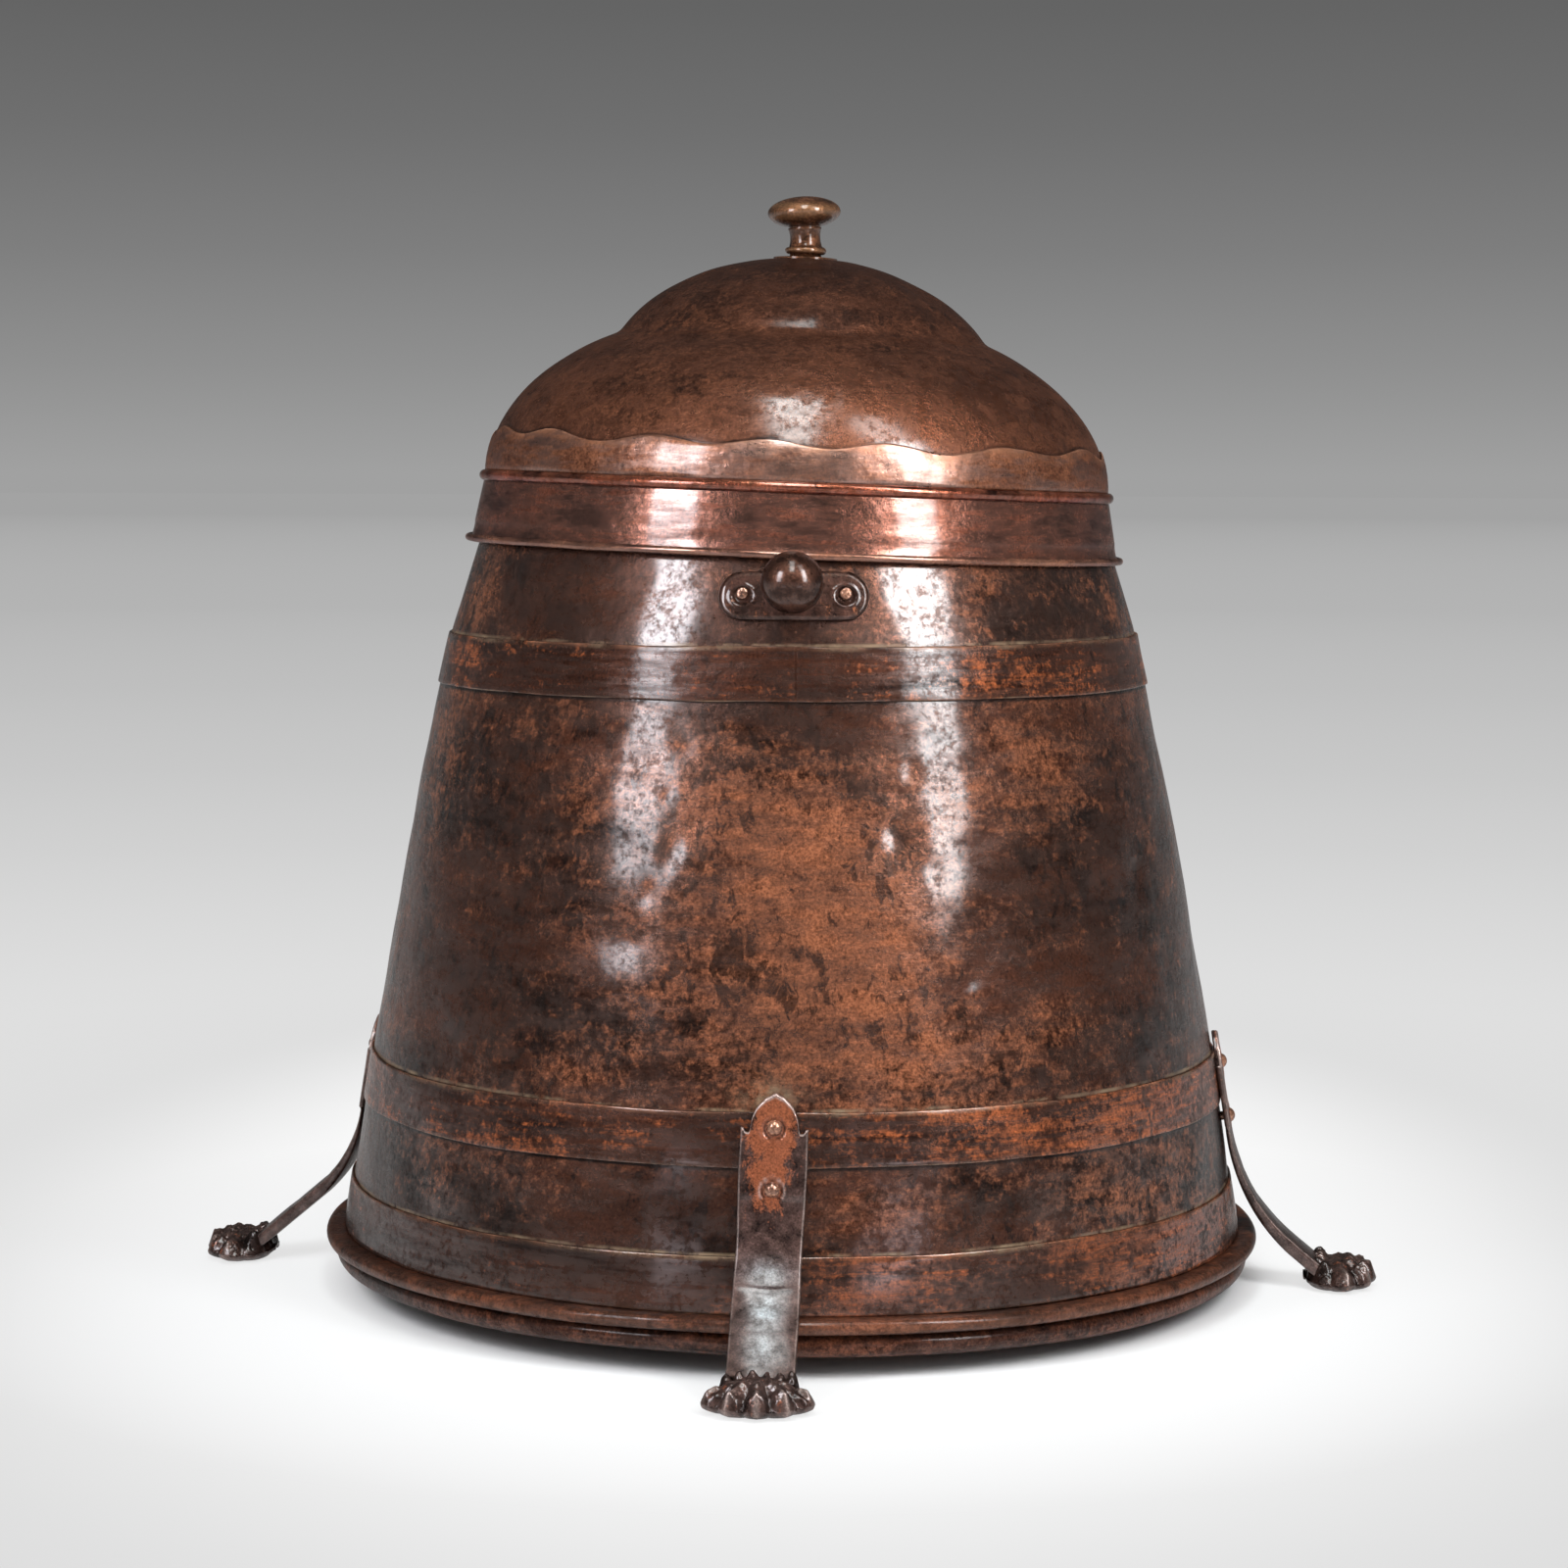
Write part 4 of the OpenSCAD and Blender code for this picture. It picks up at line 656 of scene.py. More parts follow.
def paw_shell(seed):
    """Lion's paw round its own middle, toes towards +x. Rings run from the top to the toe tips
    and back under the flat sole. The height is a smooth maximum, the 9th root of the sum of 9th
    powers, of a low dome, five toe bulbs, five knuckles behind them and tufts at the ankle. Each
    toe has a ridged claw."""
    a = np.radians(np.linspace(-180, 180, 220, endpoint=False))
    toes = np.radians([-70, -35, 0, 35, 70])
    long_r = np.where(np.abs(a) > pi / 2, HEEL, PAW_REACH - 0.5)
    oval = long_r * PAW_W / 2 / np.sqrt((PAW_W / 2 * np.cos(a)) ** 2 + (long_r * np.sin(a)) ** 2)
    lobe = np.max([np.maximum(0, 1 - ((a - t) / radians(19)) ** 2) for t in toes], 0)
    claw = np.max([bell(a - t, 0.055) for t in toes], 0)
    reach = oval * (1 - 0.15 * (1 - lobe) ** 1.3) + 0.5 * claw
    s = join([[0, 0.06], np.linspace(0.12, 0.9, 34), [0.93, 0.955, 0.975, 0.99, 1.0]])[:, None]
    x, y = s * reach * np.cos(a), s * reach * np.sin(a)
    heights = [12.6 * np.sqrt(1 - 0.93 * s ** 2) + 0 * a]

    def bulb(x0, y0, along, across, high, way=0.0):
        """Upper half of an ellipsoid on the ground, high in the middle, its long axis at way."""
        u = (x - x0) * cos(way) + (y - y0) * sin(way)
        v = -(x - x0) * sin(way) + (y - y0) * cos(way)
        heights.append(high * np.sqrt(np.maximum(0.0004, 1 - (u / along) ** 2 - (v / across) ** 2)))

    for t, high in zip(toes, (9.8, 11.2, 11.8, 11.4, 9.6)):
        r = float(np.interp(t, a, oval))
        bulb(0.75 * r * cos(t), 0.75 * r * sin(t), 7.6, 5.4, high, t)
    for t, high in zip(np.radians([-62, -33, 0, 33, 62]), (12.2, 13.6, 13.8, 13.7, 12.0)):
        r = float(np.interp(t, a, oval))
        bulb(0.46 * r * cos(t), 0.47 * r * sin(t), 6.4, 5.2, high, t)
    for k, y0 in enumerate((-13, -8, -2.5, 3, 8.5, 13.2)):
        bulb(-4.5 - (k % 2) * 1.6 + 0.04 * y0 ** 2 * 0.3, y0, 5.4, 3.4, 13.6 + (k % 3) * 0.5)
    z = sum(h ** 9 for h in heights) ** (1 / 9)
    for t in toes:
        across = -x * sin(t) + y * cos(t)
        along = x * cos(t) + y * sin(t)
        z = z + 0.9 * bell(across, 0.9) * bell(along - 20.0, 3.2)
        z = z - 0.7 * bell(np.abs(across) - 1.9, 0.7) * bell(along - 20.0, 2.6)
    grain = np.stack([x, y, z], -1)
    z = z + 0.25 * ripple(grain, 5, seed) + 0.22 * ripple(grain, 2.6, seed + 1)
    z = np.minimum(z, 4.0 + 60 * (1.002 - s))
    back = np.clip((np.abs(a) - 1.66) / 1.48, 0, 1) ** 2
    # Under side: share of the reach, height, and lift at the heel
    under = [(1.0, 3.9, 3), (0.99, 3.0, 3), (0.97, 2.3, 3), (0.91, 1.5, 2.6), (0.84, 0.8, 2), (0.74, 0.25, 1),
             (0.62, 0, 0), (0.3, 0, 0), (0, 0, 0)]
    share, rise, lift = np.array(under).T[:, :, None]
    x = join([x, share * reach * np.cos(a)])
    y = join([y, share * reach * np.sin(a)])
    z = join([z, rise + lift * back])
    points = np.stack([x, y, z], -1)
    points[0] = points[0].mean(0)
    points[-1] = (0, 0, 0)
    worn = ramp(z, 9.0, 6) * 0.12 + 0.6 * claw * bell(np.hypot(x, y) - 20, 4) * (z > 2)
    valley = 0.75 * (1 - lobe) ** 1.5 * bell(s - 0.78, 0.2)
    return points, dict(edge=np.clip(worn, 0, 1), rub=0.3 * lobe + 0 * z, soot=valley)


def cast_bronze(name, brown, light, dark, orange, gloss=0.3, wax=0.9, metal=0.5, coat=0.09):
    """Cast bronze, filed and worn by hands: a skin clouded in the tones brown and dark, orange where
    it is rubbed bare, light on its rubbed edges, blue-grey in a painted reflection of the light
    above, and black where it is darkened. gloss is its mean roughness and metal its metallic
    share; wax is the weight of the waxed film over it and coat that film's roughness."""
    material = bpy.data.materials.new(name)
    tree = blank(material)
    spot = add(tree, "TexCoord", out="Object")
    tall = add(tree, "Mapping", {"Vector": spot, "Scale": (1, 1, 0.5)})
    cloud, pits, flakes = (
        add(tree, "TexNoise", {"Vector": where, "Scale": scale, "Detail": detail, "Roughness": rough,
                               "Distortion": bend})
        for where, scale, detail, rough, bend in (
            (spot, 160, 6, 0.65, 0),     # clouds of 6 mm in the casting skin
            (spot, 1100, 3, 0.6, 0),     # pits of 0.9 mm
            (tall, 210, 5, 0.7, 0.5)))   # flakes of 5 to 10 mm that have come off
    rub, edge, pale, soot = (add(tree, "Attribute", out="Fac", attribute_name=mask)
                             for mask in ("rub", "edge", "pale", "soot"))
    share = add(tree, "MapRange", (cloud, 0.36, 0.64))
    bare = flakes
    for pattern, weight in ((rub, 0.46), (pits, 0.25)):
        bare = add(tree, "Math", (pattern, weight, bare), operation="MULTIPLY_ADD")
    bare = add(tree, "MapRange", (bare, 0.80, 0.96), interpolation_type="SMOOTHSTEP")
    tone = dark
    # The blue-grey layer paints a reflection of the light above
    for part, over, blend in (
            (share, brown, "MIX"), (bare, orange, "MIX"),
            (add(tree, "Math", (pale, share), operation="MULTIPLY"), "#879298", "MIX"),
            (edge, light, "MIX"), (soot, "#120d0b", "MIX"),
            (1.0, add(tree, "MapRange", (pits, 0.3, 0.7, 0.55, 1.45)), "MULTIPLY")):
        tone = add(tree, "Mix", {0: part, 6: tone, 7: over}, out=2, data_type="RGBA", blend_type=blend)
    dull = add(tree, "MapRange", (cloud, 0.3, 0.7, gloss - 0.06, gloss + 0.12))
    rise = add(tree, "Math", (pits, 0.25, cloud), operation="MULTIPLY_ADD")
    slope = add(tree, "LayerWeight", {"Blend": 0.5}, out="Facing")
    film = add(tree, "MapRange", (cloud, 0.40, 0.56, 0.45, 1.0))
    film = add(tree, "Math", (add(tree, "MapRange", (slope, 0.5, 0.9, wax, 0.1)), film), operation="MULTIPLY")
    add(tree, "OutputMaterial", (add(tree, "BsdfPrincipled", {
        "Base Color": tone, "Roughness": dull, "Metallic": metal, "Coat Weight": film, "Coat Roughness": coat,
        "Specular IOR Level": 0.3, "Coat IOR": 1.55, "Specular Tint": "#8c7468",
        "Normal": add(tree, "Bump", {"Height": rise, "Distance": 0.0006})}),))
    return material


# Dark skin with a broad soft shine
foot_bronze = cast_bronze("cast_bronze_feet", "#56403a", "#a8948c", "#2a1e1b", "#96563a", wax=0.95, metal=0.6,
                          coat=0.17)


def foot(name, node, turn, paw, slant, seed):
    """Strap and paw in the plane of azimuth turn. The strap leans sideways by slant degrees
    about the middle of its rivets, and the paw is shifted to its foot and stays level."""
    c, s = cos(radians(slant)), sin(radians(slant))
    strap, strap_masks = strap_shell(paw, seed)
    toes, toe_masks = paw_shell(seed + 5)
    x, y, z = strap[..., 0], strap[..., 1], strap[..., 2]
    strap = np.stack([x, y * c - (z - MID_Z) * s, MID_Z + y * s + (z - MID_Z) * c], -1)
    a = radians(turn)
    shells = []
    for p, masks in ((strap, strap_masks), (toes + (paw, MID_Z * s, 0), toe_masks)):
        placed = np.stack([p[..., 0] * sin(a) + p[..., 1] * cos(a),
                           -p[..., 0] * cos(a) + p[..., 1] * sin(a), p[..., 2]], -1)
        shells.append(shell(placed, round_v=False, **masks))
    make(name, shells, foot_bronze, "body", [node])


foot("paw_foot_front", "foot_front", -2.2, 254.5, -2.0, 71)
foot("paw_foot_right", "foot_right", 84.0, 248.0, 0.0, 72)
foot("paw_foot_back", "foot_back", 177.8, 254.5, 0.0, 73)
foot("paw_foot_left", "foot_left", -96.5, 257.0, 0.0, 74)

# Rivets through strap, band and wall, and the roves inside: copper, pale red and smooth from the
# hammer. They keep the shape of their solids.
rivet_copper = patinated_copper("hammered_copper_rivet", "#7c5a4c", "#b88468", "#4a3430", rubbed=0.6,
                                streaks=1.0, spots=0.2, gloss=0.28, metal=0.6, grain=0.5)
dress(rivet_copper, "foot_rivets", "handle_roves", "lid_knob_rove")

# ---------------------------------------------------------------- Side handles
# A cast plate with round ends and sunk rivet seats is bent to the neck, front and back. A ball on
# a short turned stem stands on it, its shank set over a rove inside the wall.
# The plate is filed and dark with a satin shine, the ball handled until it gleams
handle_bronze = cast_bronze("cast_bronze_plate", "#482f27", "#a08878", "#291c18", "#74462f", gloss=0.28)
ball_bronze = cast_bronze("turned_bronze_ball", "#54362a", "#8a6c5c", "#2e1c16", "#6c4030", gloss=0.26,
                          metal=0.75, wax=0.85, coat=0.15)
HANDLE_Z, RIVET_OFF, BALL_R, BALL_OUT = 319.1, 21.3, 13, 26
HANDLE_R = float(wall_r(HANDLE_Z))
RIVET_TURN = degrees(asin(RIVET_OFF / HANDLE_R))


def plate(name, node, turn):
    """Plate over the neck at azimuth turn. Rings shrink from its round-ended outline to the
    middle: the rim rises as a quarter round of 2.4 mm, the face is slightly domed with a boss
    round the stem, and a seat 1.3 mm deep is sunk round each rivet."""
    t = np.radians(np.linspace(0, 360, 200, endpoint=False))
    half, end_r = 20.75, 10.75
    side = np.cos(t) * end_r + half * np.clip(np.cos(t) * 3, -1, 1)
    down = np.sin(t) * end_r
    s = join([np.linspace(0, 0.7, 16), np.linspace(0.74, 1, 18)])[:, None]
    side_s, down_s = s * side, s * down
    inner = np.hypot(np.maximum(0, np.abs(side_s) - half), down_s)
    rim = np.clip((end_r - inner) / 2.4, 0, 1)
    high = 0.9 + 1.7 * np.sqrt(1 - (1 - rim) ** 2) + 0.5 * (1 - (inner / end_r) ** 2)
    high = high + 0.9 * bell(np.hypot(side_s, down_s), 8.5)
    for k in (-1, 1):
        far = np.hypot(side_s - k * RIVET_OFF, down_s)
        high = high - 1.3 / (1 + np.exp((far - 3.7) / 0.28)) + 0.25 * bell(far - 4.9, 0.8)
    high = high + 0.08 * ripple(np.stack([side_s, down_s, 0 * side_s], -1), 9, 81)
    a = turn + np.degrees(side_s / HANDLE_R)
    z = HANDLE_Z - down_s * cos(NECK_LEAN)
    r = wall_r(z) + 0.1 + sheet_play(a, z)
    points = join([turned(a, r + high, z), turned(a[::-1], r[::-1], z[::-1])])
    edge = 0.05 * bell(rim - 0.75, 0.2) * (rim < 1)
    make(name, [shell(points, round_v=False, edge=edge, rub=0.2 + 0 * rim)],
         handle_bronze, "body", [node])


def out_of_wall(turn, height, down, side, out):
    """Points in the frame of the wall at azimuth turn and height: down the slope, sideways and
    straight out from it, in mm."""
    a = radians(turn)
    r = float(wall_r(height)) + out * cos(NECK_LEAN) + down * sin(NECK_LEAN)
    return np.stack([r * sin(a) + side * cos(a), -r * cos(a) + side * sin(a),
                     height + out * sin(NECK_LEAN) - down * cos(NECK_LEAN)], -1)


def lathe(profile, steps=72):
    """Turns a profile of radius and height round its axis: grids of the two sideways parts and
    of the height, a row for each point and a column for each step."""
    r, h = np.array(profile, float).T[:, :, None]
    t = np.radians(np.linspace(0, 360, steps, endpoint=False))
    return r * np.cos(t), r * np.sin(t), h + 0 * t


def ball_knob(name, node, turn):
    """Shank, rove end, stem and ball as one turned profile, standing out from the wall. The stem
    flares to the plate and to the ball on quarter curves. The ball hangs down by 1.6 mm and
    stands 0.8 mm to one side."""
    stem = [(8.2 - 3.2 * sin(k), 3.6 + 5.5 * (1 - cos(k))) for k in np.linspace(0, pi / 2, 10)]
    ball = [(BALL_R * sin(k), BALL_OUT - BALL_R * cos(k)) for k in np.linspace(0.46, pi, 40)]
    profile = [(0, -4.4), (4, -4.4), (4, -3.4), (3, -3.4), (3, 3.0), (8.4, 3.2)] + stem + ball
    profile[-1] = (0, BALL_OUT + BALL_R)
    down, side, out = lathe(profile)
    bent = np.clip(out / BALL_OUT, 0, 1)
    make(name, [shell(out_of_wall(turn, HANDLE_Z, down + 1.6 * bent, side - 0.8 * bent, out), round_v=False)],
         ball_bronze, "body", [node])


for end, turn in (("front", 0), ("back", 180)):
    plate("plate_" + end, "handle_plate_" + end, turn)
for end, turn in (("front", 0), ("back", 180)):
    ball_knob("ball_" + end, "handle_knob_" + end, turn)

# Rivets of the plates: the same copper, set through plate and wall, their heads hammered to low
# irregular domes in the sunk seats.
heads = []
profile = [(0, -2.9), (2.5, -2.9), (2.5, -1.7), (1.5, -1.7), (1.5, 1.9), (2.5, 2.0), (2.55, 3.0), (2.5, 3.35),
           (2.25, 3.65), (1.7, 3.82), (0.9, 3.9), (0, 3.9)]
for number, turn in enumerate((-RIVET_TURN, RIVET_TURN, 180 - RIVET_TURN, 180 + RIVET_TURN)):
    down, side, out = lathe(profile, 40)
    lump = np.stack([down, side, out], -1)
    swell = 1 + 0.05 * ripple(lump, 3.5, 90 + number)
    beaten = out + 0.12 * ripple(lump, 2.6, 95 + number) * (out > 3.2)
    heads.append(shell(out_of_wall(turn, HANDLE_Z, down * swell, side * swell, beaten), round_v=False))
make("plate_rivet_heads", heads, rivet_copper, "body", ["handle_rivets"])

# ---------------------------------------------------------------- Lid dome
# One raised sheet: crown, crease, shoulder and upright wall, its lower edge turned in as a ledge
# that sits on the mouth. The lid is loose and sits two degrees out of level.
LID_LEAN, LID_GAP, RIM_DROP, DOME_T = radians(2.0), 0.3, 21.8, 1.2
APEX_A, APEX_B, DOME_WALL = 141.0, 80.7, 8.7
CREASE_R, CROWN_A, CROWN_RISE, HOLE_R = 83.6, 90.2, 36.2, 3.56
CREASE_S, CROWN_S = acos(CREASE_R / APEX_A), acos(CREASE_R / CROWN_A)
CROWN_V = CROWN_RISE / (1 - sin(CROWN_S))
CROWN_Z = DOME_WALL + APEX_B * sin(CREASE_S) - CROWN_V * sin(CROWN_S)
APEX_Z = CROWN_Z + CROWN_V


def on_mouth(points):
    """Moves points from the lid's own frame, where its ledge lies at height 0, to its place:
    turned by its lean about the right end of the mouth's roll and set 0.3 mm above it."""
    x, y, z = points[..., 0] - ROLL_X, points[..., 1], points[..., 2]
    c, s = cos(LID_LEAN), sin(LID_LEAN)
    return np.stack([x * c + z * s + ROLL_X + RIM_DROP * s, y, z * c - x * s + MOUTH + LID_GAP], -1)


def dome_profile(off, steps, extra=0):
    """Radius and height up the shoulder ellipse and the crown ellipse to the knob's hole, moved
    outwards by off, with the crease between them eased over about 5 mm. extra adds rows where
    the skirt ends."""
    s1 = np.linspace(0, CREASE_S, 400)
    s2 = np.linspace(CROWN_S, pi / 2, 400)
    r = join([(APEX_A + off) * np.cos(s1), (CROWN_A + off) * np.cos(s2)])
    z = join([DOME_WALL + (APEX_B + off) * np.sin(s1), CROWN_Z + (CROWN_V + off) * np.sin(s2)])
    long = join([[0], np.cumsum(np.hypot(np.diff(r), np.diff(z)))])
    fine = np.linspace(0, long[-1], 900)
    r, z = np.interp(fine, long, r), np.interp(fine, long, z)
    kernel = bell(np.arange(-30, 31) * fine[1], 2.2)
    kernel /= kernel.sum()
    soft = bell(fine - long[400], 7)
    r, z = [q + (np.convolve(np.pad(q, 30, mode="edge"), kernel, "valid") - q) * soft for q in (r, z)]
    pick = np.interp(np.linspace(20.5, 31, extra), z, fine)
    pick = np.sort(np.append(np.linspace(0, long[-1], steps), pick))
    r, z = np.interp(pick, fine, r), np.interp(pick, fine, z)
    keep = r > HOLE_R + 0.04
    return np.append(r[keep], HOLE_R)[:, None], np.append(z[keep], APEX_Z + off)[:, None]


# Dents in the lid: azimuth, distance from the axis, half width, depth
LID_DENTS = [(52, 76, 9, 1.6), (30, 80, 8, 0.7), (62, 60, 12, 1.5), (40, 116, 9, 0.9), (-52, 60, 14, 1.2),
             (-30, 74, 9, 0.8), (10, 84, 8, 0.5), (150, 90, 12, 1.4), (230, 110, 10, 1.2), (200, 60, 14, 1.0),
             (-75, 118, 12, 0.8), (100, 100, 10, 0.9), (36.9, 127.5, 2.6, 0.6), (38.6, 129.5, 2.4, 0.4),
             (0, 118, 3.6, 0.35), (3.4, 121, 3.2, 0.35), (-3.6, 116, 3.8, 0.35), (1.2, 126, 3.6, 0.35),
             (-2.4, 123, 3, 0.3), (5.6, 116, 3.8, 0.35), (-6, 121, 3.4, 0.3), (2, 112, 3.6, 0.3),
             (-1, 130, 3, 0.3), (6.5, 125, 3, 0.3)]


def lid_play(a, r):
    """Unevenness of the dome in mm at azimuth a and distance r from its axis."""
    p = turned(a, r, 0.0 * r)
    play = 0.40 * ripple(p, 80, 101) + 0.12 * ripple(p, 26, 102)
    for a0, r0, w, d in LID_DENTS:
        play = play - d * bell(np.linalg.norm(p - turned(a0, r0, 0.0), axis=-1), w)
    return play * ramp(r, 138, -10) * ramp(r, 14, 10)


# Crests and troughs of the skirt's edge by turns: azimuth and height. Those in view are listed
# one by one, and the rest follow at even steps.
CRESTS = [(-71.9, 28.6), (-60.9, 25.2), (-51.3, 27.7), (-37.9, 23.0), (-26.6, 26.4), (-15.6, 23.5),
          (-5.1, 26.4), (5.4, 23.3), (15.5, 26.6), (27.1, 22.9), (39.8, 26.8), (52.5, 24.3), (66.1, 28.0)]
wave_rng = np.random.default_rng(7)
CRESTS += [(66.1 + 11.1 * k, (27.2, 23.6)[k % 2] + wave_rng.uniform(-0.7, 0.7)) for k in range(1, 20)]


def wave_edge(a):
    """Height of the skirt's edge: half a cosine from each crest to the next trough."""
    ka, kz = np.array(CRESTS + [(CRESTS[0][0] + 360, CRESTS[0][1])]).T
    a = (np.asarray(a, float) - ka[0]) % 360 + ka[0]
    i = np.clip(np.searchsorted(ka, a, side="right") - 1, 0, len(ka) - 2)
    t = (a - ka[i]) / (ka[i + 1] - ka[i])
    return kz[i] + (kz[i + 1] - kz[i]) * (1 - np.cos(pi * t)) / 2


a = np.arange(0, 360, 0.8)
r_out, z_out = dome_profile(0, 120, 30)
r_in, z_in = (q[::-1] for q in dome_profile(-DOME_T, 50))
play_out, play_in = lid_play(a, r_out + 0 * a), lid_play(a, r_in + 0 * a)
slope_r, slope_z = np.gradient(r_out[:, 0])[:, None], np.gradient(z_out[:, 0])[:, None]
lean_out = slope_r / np.hypot(slope_r, slope_z)
outside = turned(a, r_out + play_out * np.sqrt(1 - lean_out ** 2), z_out - play_out * lean_out)
inside = turned(a, r_in, z_in + play_in * ramp(r_in, 138, -30))
ledge_r, ledge_z = np.array([(139.8, 8.0), (139.8, 1.4), (139.6, 1.2), (131.2, 1.2), (131, 1.0), (131, 0.2),
                             (131.2, 0), (140.8, 0), (141, 0.2)]).T[:, :, None]
ledge = turned(a, ledge_r, ledge_z)
# More orange on the shoulder and along the crease, less on the crown. The orange patch on the right of the
# shoulder is a painted glow where the right softboxes reflect.
rub = 0.05 * bell(r_out - 134, 9) + 0.04 * bell(r_out - 118, 10) - 0.10 * bell(r_out, 70) + 0 * a
rub = rub + 0.15 * bell(turn_apart(a, 34), 24) * bell(r_out - 129, 11) + 0.04 * bell(r_out - 86, 6)
rub = join([rub, np.full((len(r_in) + len(ledge), len(a)), -0.2)])
# Dark foot line along the skirt's edge. Painted highlights at the front of the shoulder and at its
# right, where the top and right softboxes reflect, and a duller crown
soot = 0.85 * bell(z_out - wave_edge(a) - 0.45, 0.55) * (z_out > 10)
sheen = 0.20 * bell(r_out - 123, 14) * bell(turn_apart(a, 26), 30) - 0.16 * bell(r_out, 66)
sheen = sheen + 0.26 * bell(r_out - 119, 11) * bell(turn_apart(a, 0), 9)
sheen = sheen + 0.28 * bell(r_out - 130, 9) * bell(turn_apart(a, 26), 13)
# Even dark brown with a broad grainy shine, coppery in its burnished patches and in the painted
# highlights
lid_copper = patinated_copper(
    "old_copper_lid", "#3b2319", "#5a3625", "#241611", rubbed=0.24, streaks=3.0, spots=0.35, gloss=0.34,
    metal=0.5, coat=0.17, grain=1.8, burnish_and_painted_highlight_tone="#84523c")
dome = shell(on_mouth(join([outside, inside, ledge])), rub=rub, soot=soot, sheen=sheen)
make("lid_raised_dome", [dome], lid_copper, "lid", ["lid_dome"])

# ---------------------------------------------------------------- Lid skirt
# A ring of sheet soldered over the foot of the dome. Its upper edge is cut in sixteen hand-drawn
# waves, a little uneven, and the cut edge shines.
SKIRT_LOW, SKIRT_T = 6.4, 1.0
# Satin brown without specks, pale in its burnished patches and in a painted reflection down its
# front
skirt_copper = patinated_copper(
    "satin_copper_skirt", "#683e2b", "#82523a", "#4c2e22", rubbed=0.36, streaks=5.0, spots=-0.5, gloss=0.36,
    pitted=0.25, metal=0.75, coat=0.12, burnish_and_painted_highlight_tone="#b8968a", wander=0.3, grain=0.5)


def skirt_r(z, off):
    """Radius of the dome's outline at height z, moved out by off: that of its upright wall, and
    above the wall that of the shoulder ellipse."""
    return (APEX_A + off) * np.sqrt(1 - (np.maximum(0, z - DOME_WALL) / (APEX_B + off)) ** 2)


a = np.arange(0, 360, 0.6)
top = wave_edge(a) + 0.12 * ripple(turned(a, 140.0, 0 * a), 25, 111)
# Loop round the section: share of the height, inset of height, stand-off from the dome
share, inset, off = np.array([
    (0, 0, 1.2), (0.25, 0, 1.2), (0.5, 0, 1.2), (0.75, 0, 1.2), (1, -0.9, 1.2), (1, -0.35, 1.15),
    (1, -0.08, 0.95), (1, 0, 0.7), (1, -0.1, 0.25), (0.6, 0, 0.2), (0.2, 0, 0.2), (0, 0, 0.2)]).T[:, :, None]
z = SKIRT_LOW + (top - SKIRT_LOW) * share + inset
play = lid_play(a, skirt_r(z, 0)) + 0.10 * ripple(turned(a, 141.0, z), 22, 112) * (off > 0.6)
edge = np.zeros(z.shape)
edge[4:8] = np.array([0.5, 1.0, 1.0, 0.6])[:, None]
edge = edge * (0.8 + 0.3 * ripple(turned(a, 141.0, 0 * a), 30, 113))
# A painted reflection brightens the skirt's front; its sides are a little duller
make("skirt_with_wavy_edge", [shell(on_mouth(turned(a, skirt_r(z, off) + play, z)), edge=np.clip(edge, 0, 1),
                                    rub=0 * z, sheen=0.18 * bell(turn_apart(a, 4), 30) - 0.06 + 0 * z)],
     skirt_copper, "lid", ["lid_skirt"])

# ---------------------------------------------------------------- Bead, collar and rim
# A half-round strip covers the joint of skirt and collar. The collar hangs over the neck, flares
# at the bottom and is rolled outwards over a wire.
# The bead is bright and red, the collar a browner satin
bead_copper = patinated_copper(
    "bright_copper_bead", "#5c2e1e", "#8a4630", "#341a13", streaks=2.0, spots=0.15, gloss=0.22, metal=0.7,
    coat=0.10, sheen=0.05, burnish_and_painted_highlight_tone="#8a5442", wander=0.3, grain=0.5)
collar_copper = patinated_copper(
    "satin_copper_collar", "#5e3628", "#6e4030", "#46281e", rubbed=0.34, streaks=5.0, spots=-0.5, gloss=0.27,
    pitted=0.35, metal=0.6, coat=0.11, sheen=0.06, burnish_and_painted_highlight_tone="#906c60", wander=0.3, grain=0.5)


def lid_ring(name, loop, material, slot, node, wobble, seed, **masks):
    """Ring on the lid, its section loop in the lid's own frame."""
    _, points = wandering_ring(loop, 0.7, 142.0, (60, 45), (wobble, wobble), seed)
    make(name, [shell(on_mouth(points), **masks)], material, "lid", [node])


BEAD_R, HALF_BEAD, RIM_GAP, WIRE_R = 142.2, 2.5, 0.7, 0.7
ROLL_OUT = WIRE_R + SKIRT_T
FLARE_Z = 8 - RIM_DROP
FLARE_X = float(wall_r(MOUTH + FLARE_Z)) + 2 * RIM_GAP + SKIRT_T
RIM_X = float(wall_r(MOUTH - RIM_DROP)) + RIM_GAP + ROLL_OUT
COLLAR_SLOPE = (FLARE_X - BEAD_R) / (SKIRT_LOW - FLARE_Z)
bead_in = BEAD_R + COLLAR_SLOPE * HALF_BEAD + 0.12
bead_round = arc(BEAD_R, SKIRT_LOW, HALF_BEAD, -78, 78, 18)
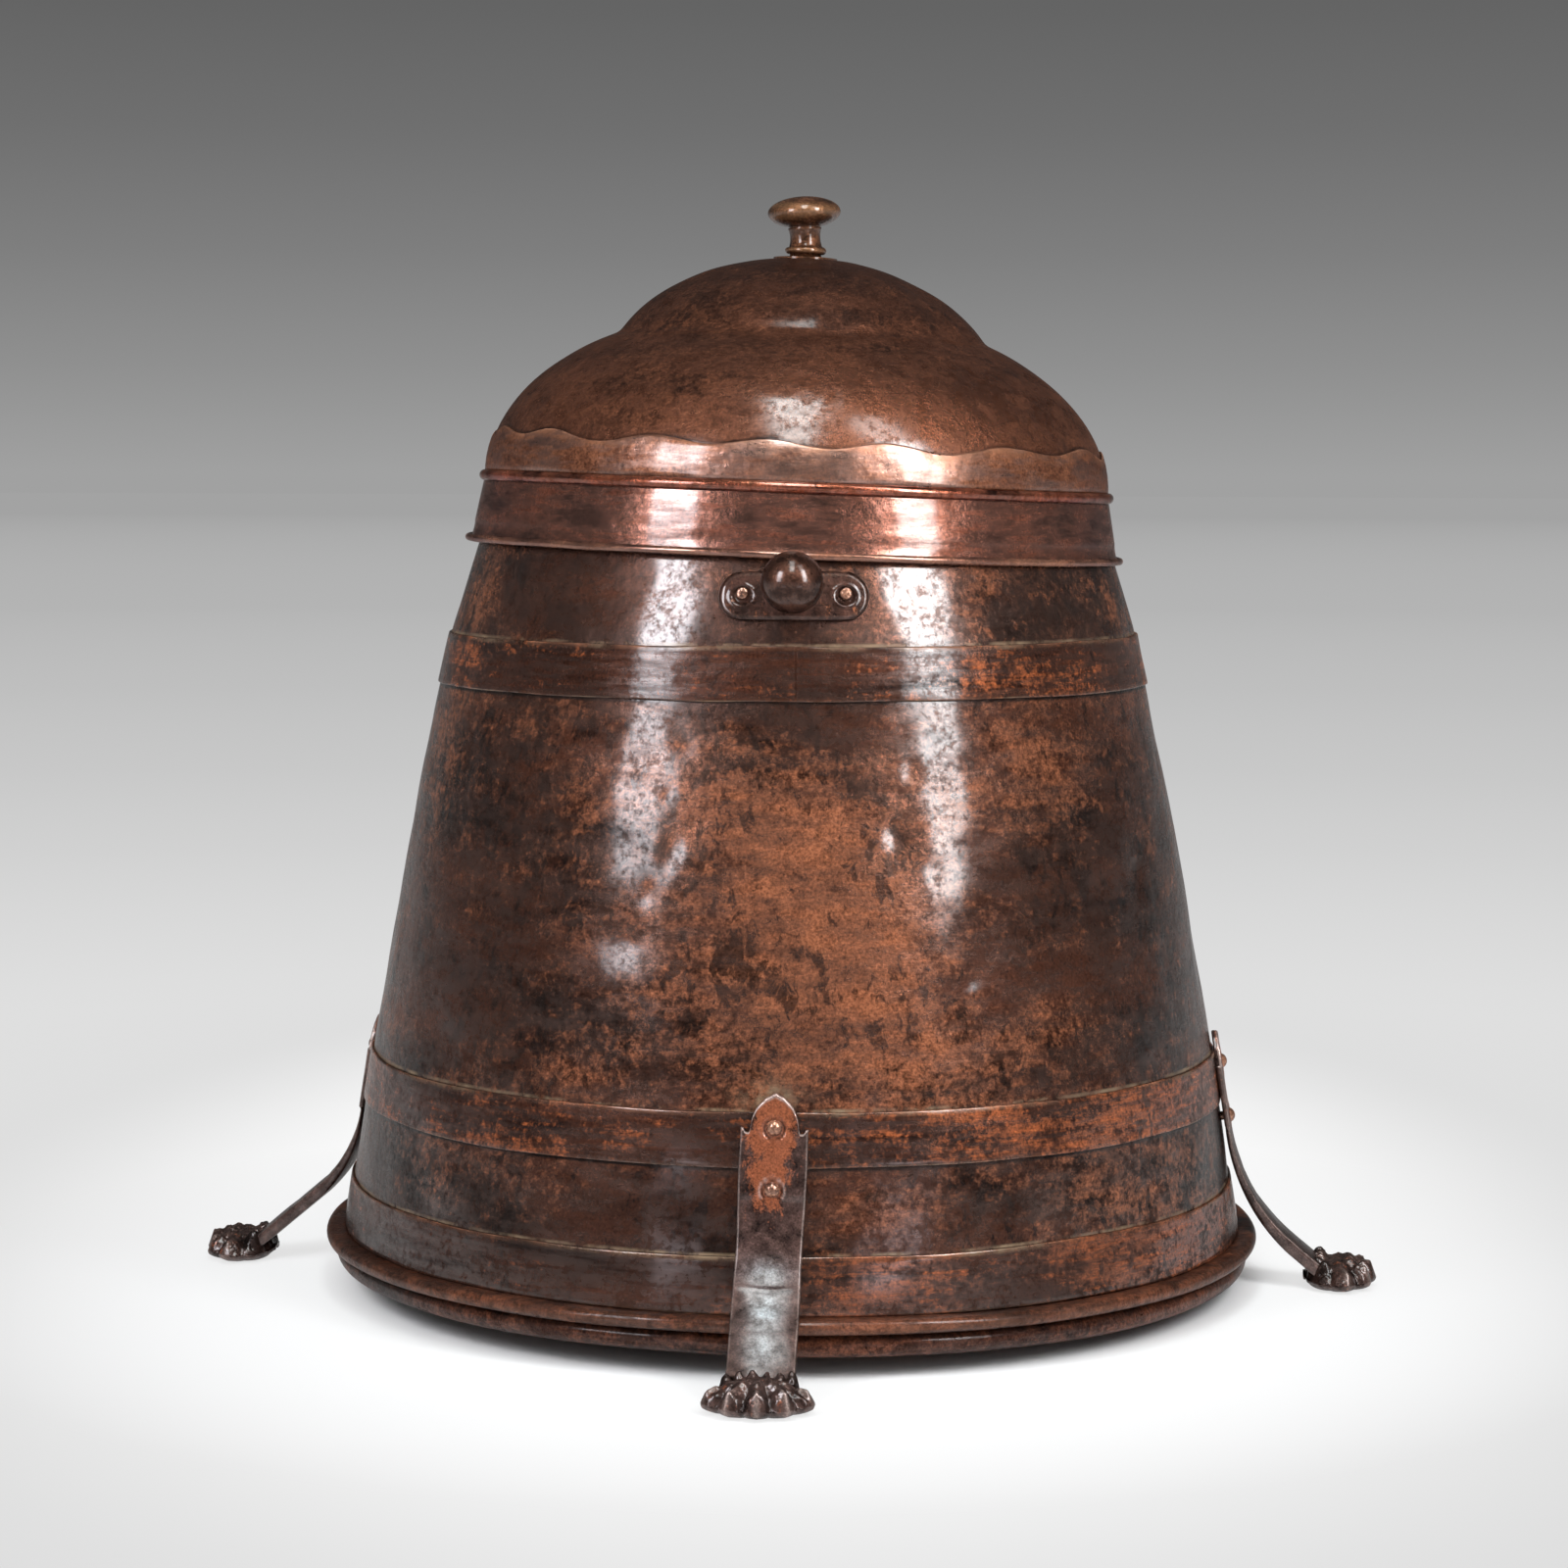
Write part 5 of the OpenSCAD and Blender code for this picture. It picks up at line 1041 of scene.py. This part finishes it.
# The bead is dark at its foot against the collar, a painted shadow, and in the crevice at its top; its upper
# half is brighter, partly rubbed and partly a painted highlight
lid_ring("half_round_bead", [(bead_in, 3.95)] + bead_round + [(bead_in, 8.85)], bead_copper, "bead_copper",
         "lid_bead", 0.06, 121, edge=[0] * 7 + [0.1] * 6 + [0.3] * 6 + [0],
         soot=[1, 0.9, 0.5, 0.2] + [0] * 15 + [0.6])
straight = [(BEAD_R + (FLARE_X - BEAD_R) * s, 6.3 + (FLARE_Z - 6.3) * s) for s in np.linspace(0, 0.92, 7)]
flare = [(FLARE_X + (RIM_X - WIRE_R - FLARE_X) * s * s, FLARE_Z + (-RIM_DROP - FLARE_Z) * s)
         for s in np.linspace(0, 1, 10)]
collar_out = straight + flare
collar_in = [(x - SKIRT_T, z) for x, z in collar_out[-2::-1]]
roll_in = arc(RIM_X, -RIM_DROP, WIRE_R, 200, 440, 14)
roll_out = arc(RIM_X, -RIM_DROP, ROLL_OUT, 440, 180, 26)
lid_ring("collar_with_rolled_rim", collar_out + roll_in + roll_out + collar_in, collar_copper,
         "collar_copper", "lid_collar", 0.08, 131,
         edge=[0.0] * (len(collar_out) + len(roll_in)) + [0.45] * 14 + [0.1] * 12)

# ---------------------------------------------------------------- Lid knob
# Turned bronze: foot and ring stand square on a dished washer, the stem and its flattened head
# lean a little to the left. The shank passes through the crown and is set over a rove inside.
HEAD_R, HEAD_H, RING_R, SOLDER_GAP = 16.5, 7.2, 1.6, 0.1
# Golden brown, the most handled of the castings
knob_bronze = cast_bronze("turned_bronze_knob", "#6a442e", "#b0845f", "#301e14", "#9a5836", gloss=0.22,
                          metal=0.4)
RING_Z = APEX_Z + SOLDER_GAP + 0.8 + 1.0 + RING_R
FOOT_Z = APEX_Z + 0.9
LOW_Z = APEX_Z - DOME_T - 7 ** 2 / (2 * CROWN_A) - SOLDER_GAP - 1.2
HEAD_Z = RING_Z + RING_R + 9.6 + HEAD_H - 1.15
stem = [(6.8 + 0.8 * (2 * s - 1) ** 2, RING_Z + RING_R + s * 8.6) for s in np.linspace(0, 1, 12)]
head = [(HEAD_R * cos(k), HEAD_Z + HEAD_H * sin(k)) for k in np.radians(np.linspace(-66, 90, 36))]
head[-1] = (0, HEAD_Z + HEAD_H)
ring = arc(7.8, RING_Z, RING_R, -80, 80, 12)
x, y, z = lathe([(0, LOW_Z - 1), (4.5, LOW_Z - 1), (4.5, LOW_Z), (3.5, LOW_Z), (3.5, FOOT_Z), (7.2, FOOT_Z),
                 (7.2, FOOT_Z + 0.9)] + ring + stem + head, 90)
tilt = tan(radians(4.5))
above = ramp(z, RING_Z, 4)
x, z = x - np.maximum(0, z - RING_Z) * tilt, z + x * tilt * above
out = np.hypot(x, y)
edge = np.clip(bell(out - 16, 1.5) * 0.25 + 0.3 * bell(z - RING_Z, 0.9) * (out > 8), 0, 1)
make("turned_knob", [shell(on_mouth(np.stack([x, y, z], -1)), round_v=False, edge=edge)],
     knob_bronze, "lid", ["lid_knob"])
dress(knob_bronze, "lid_knob_washer")
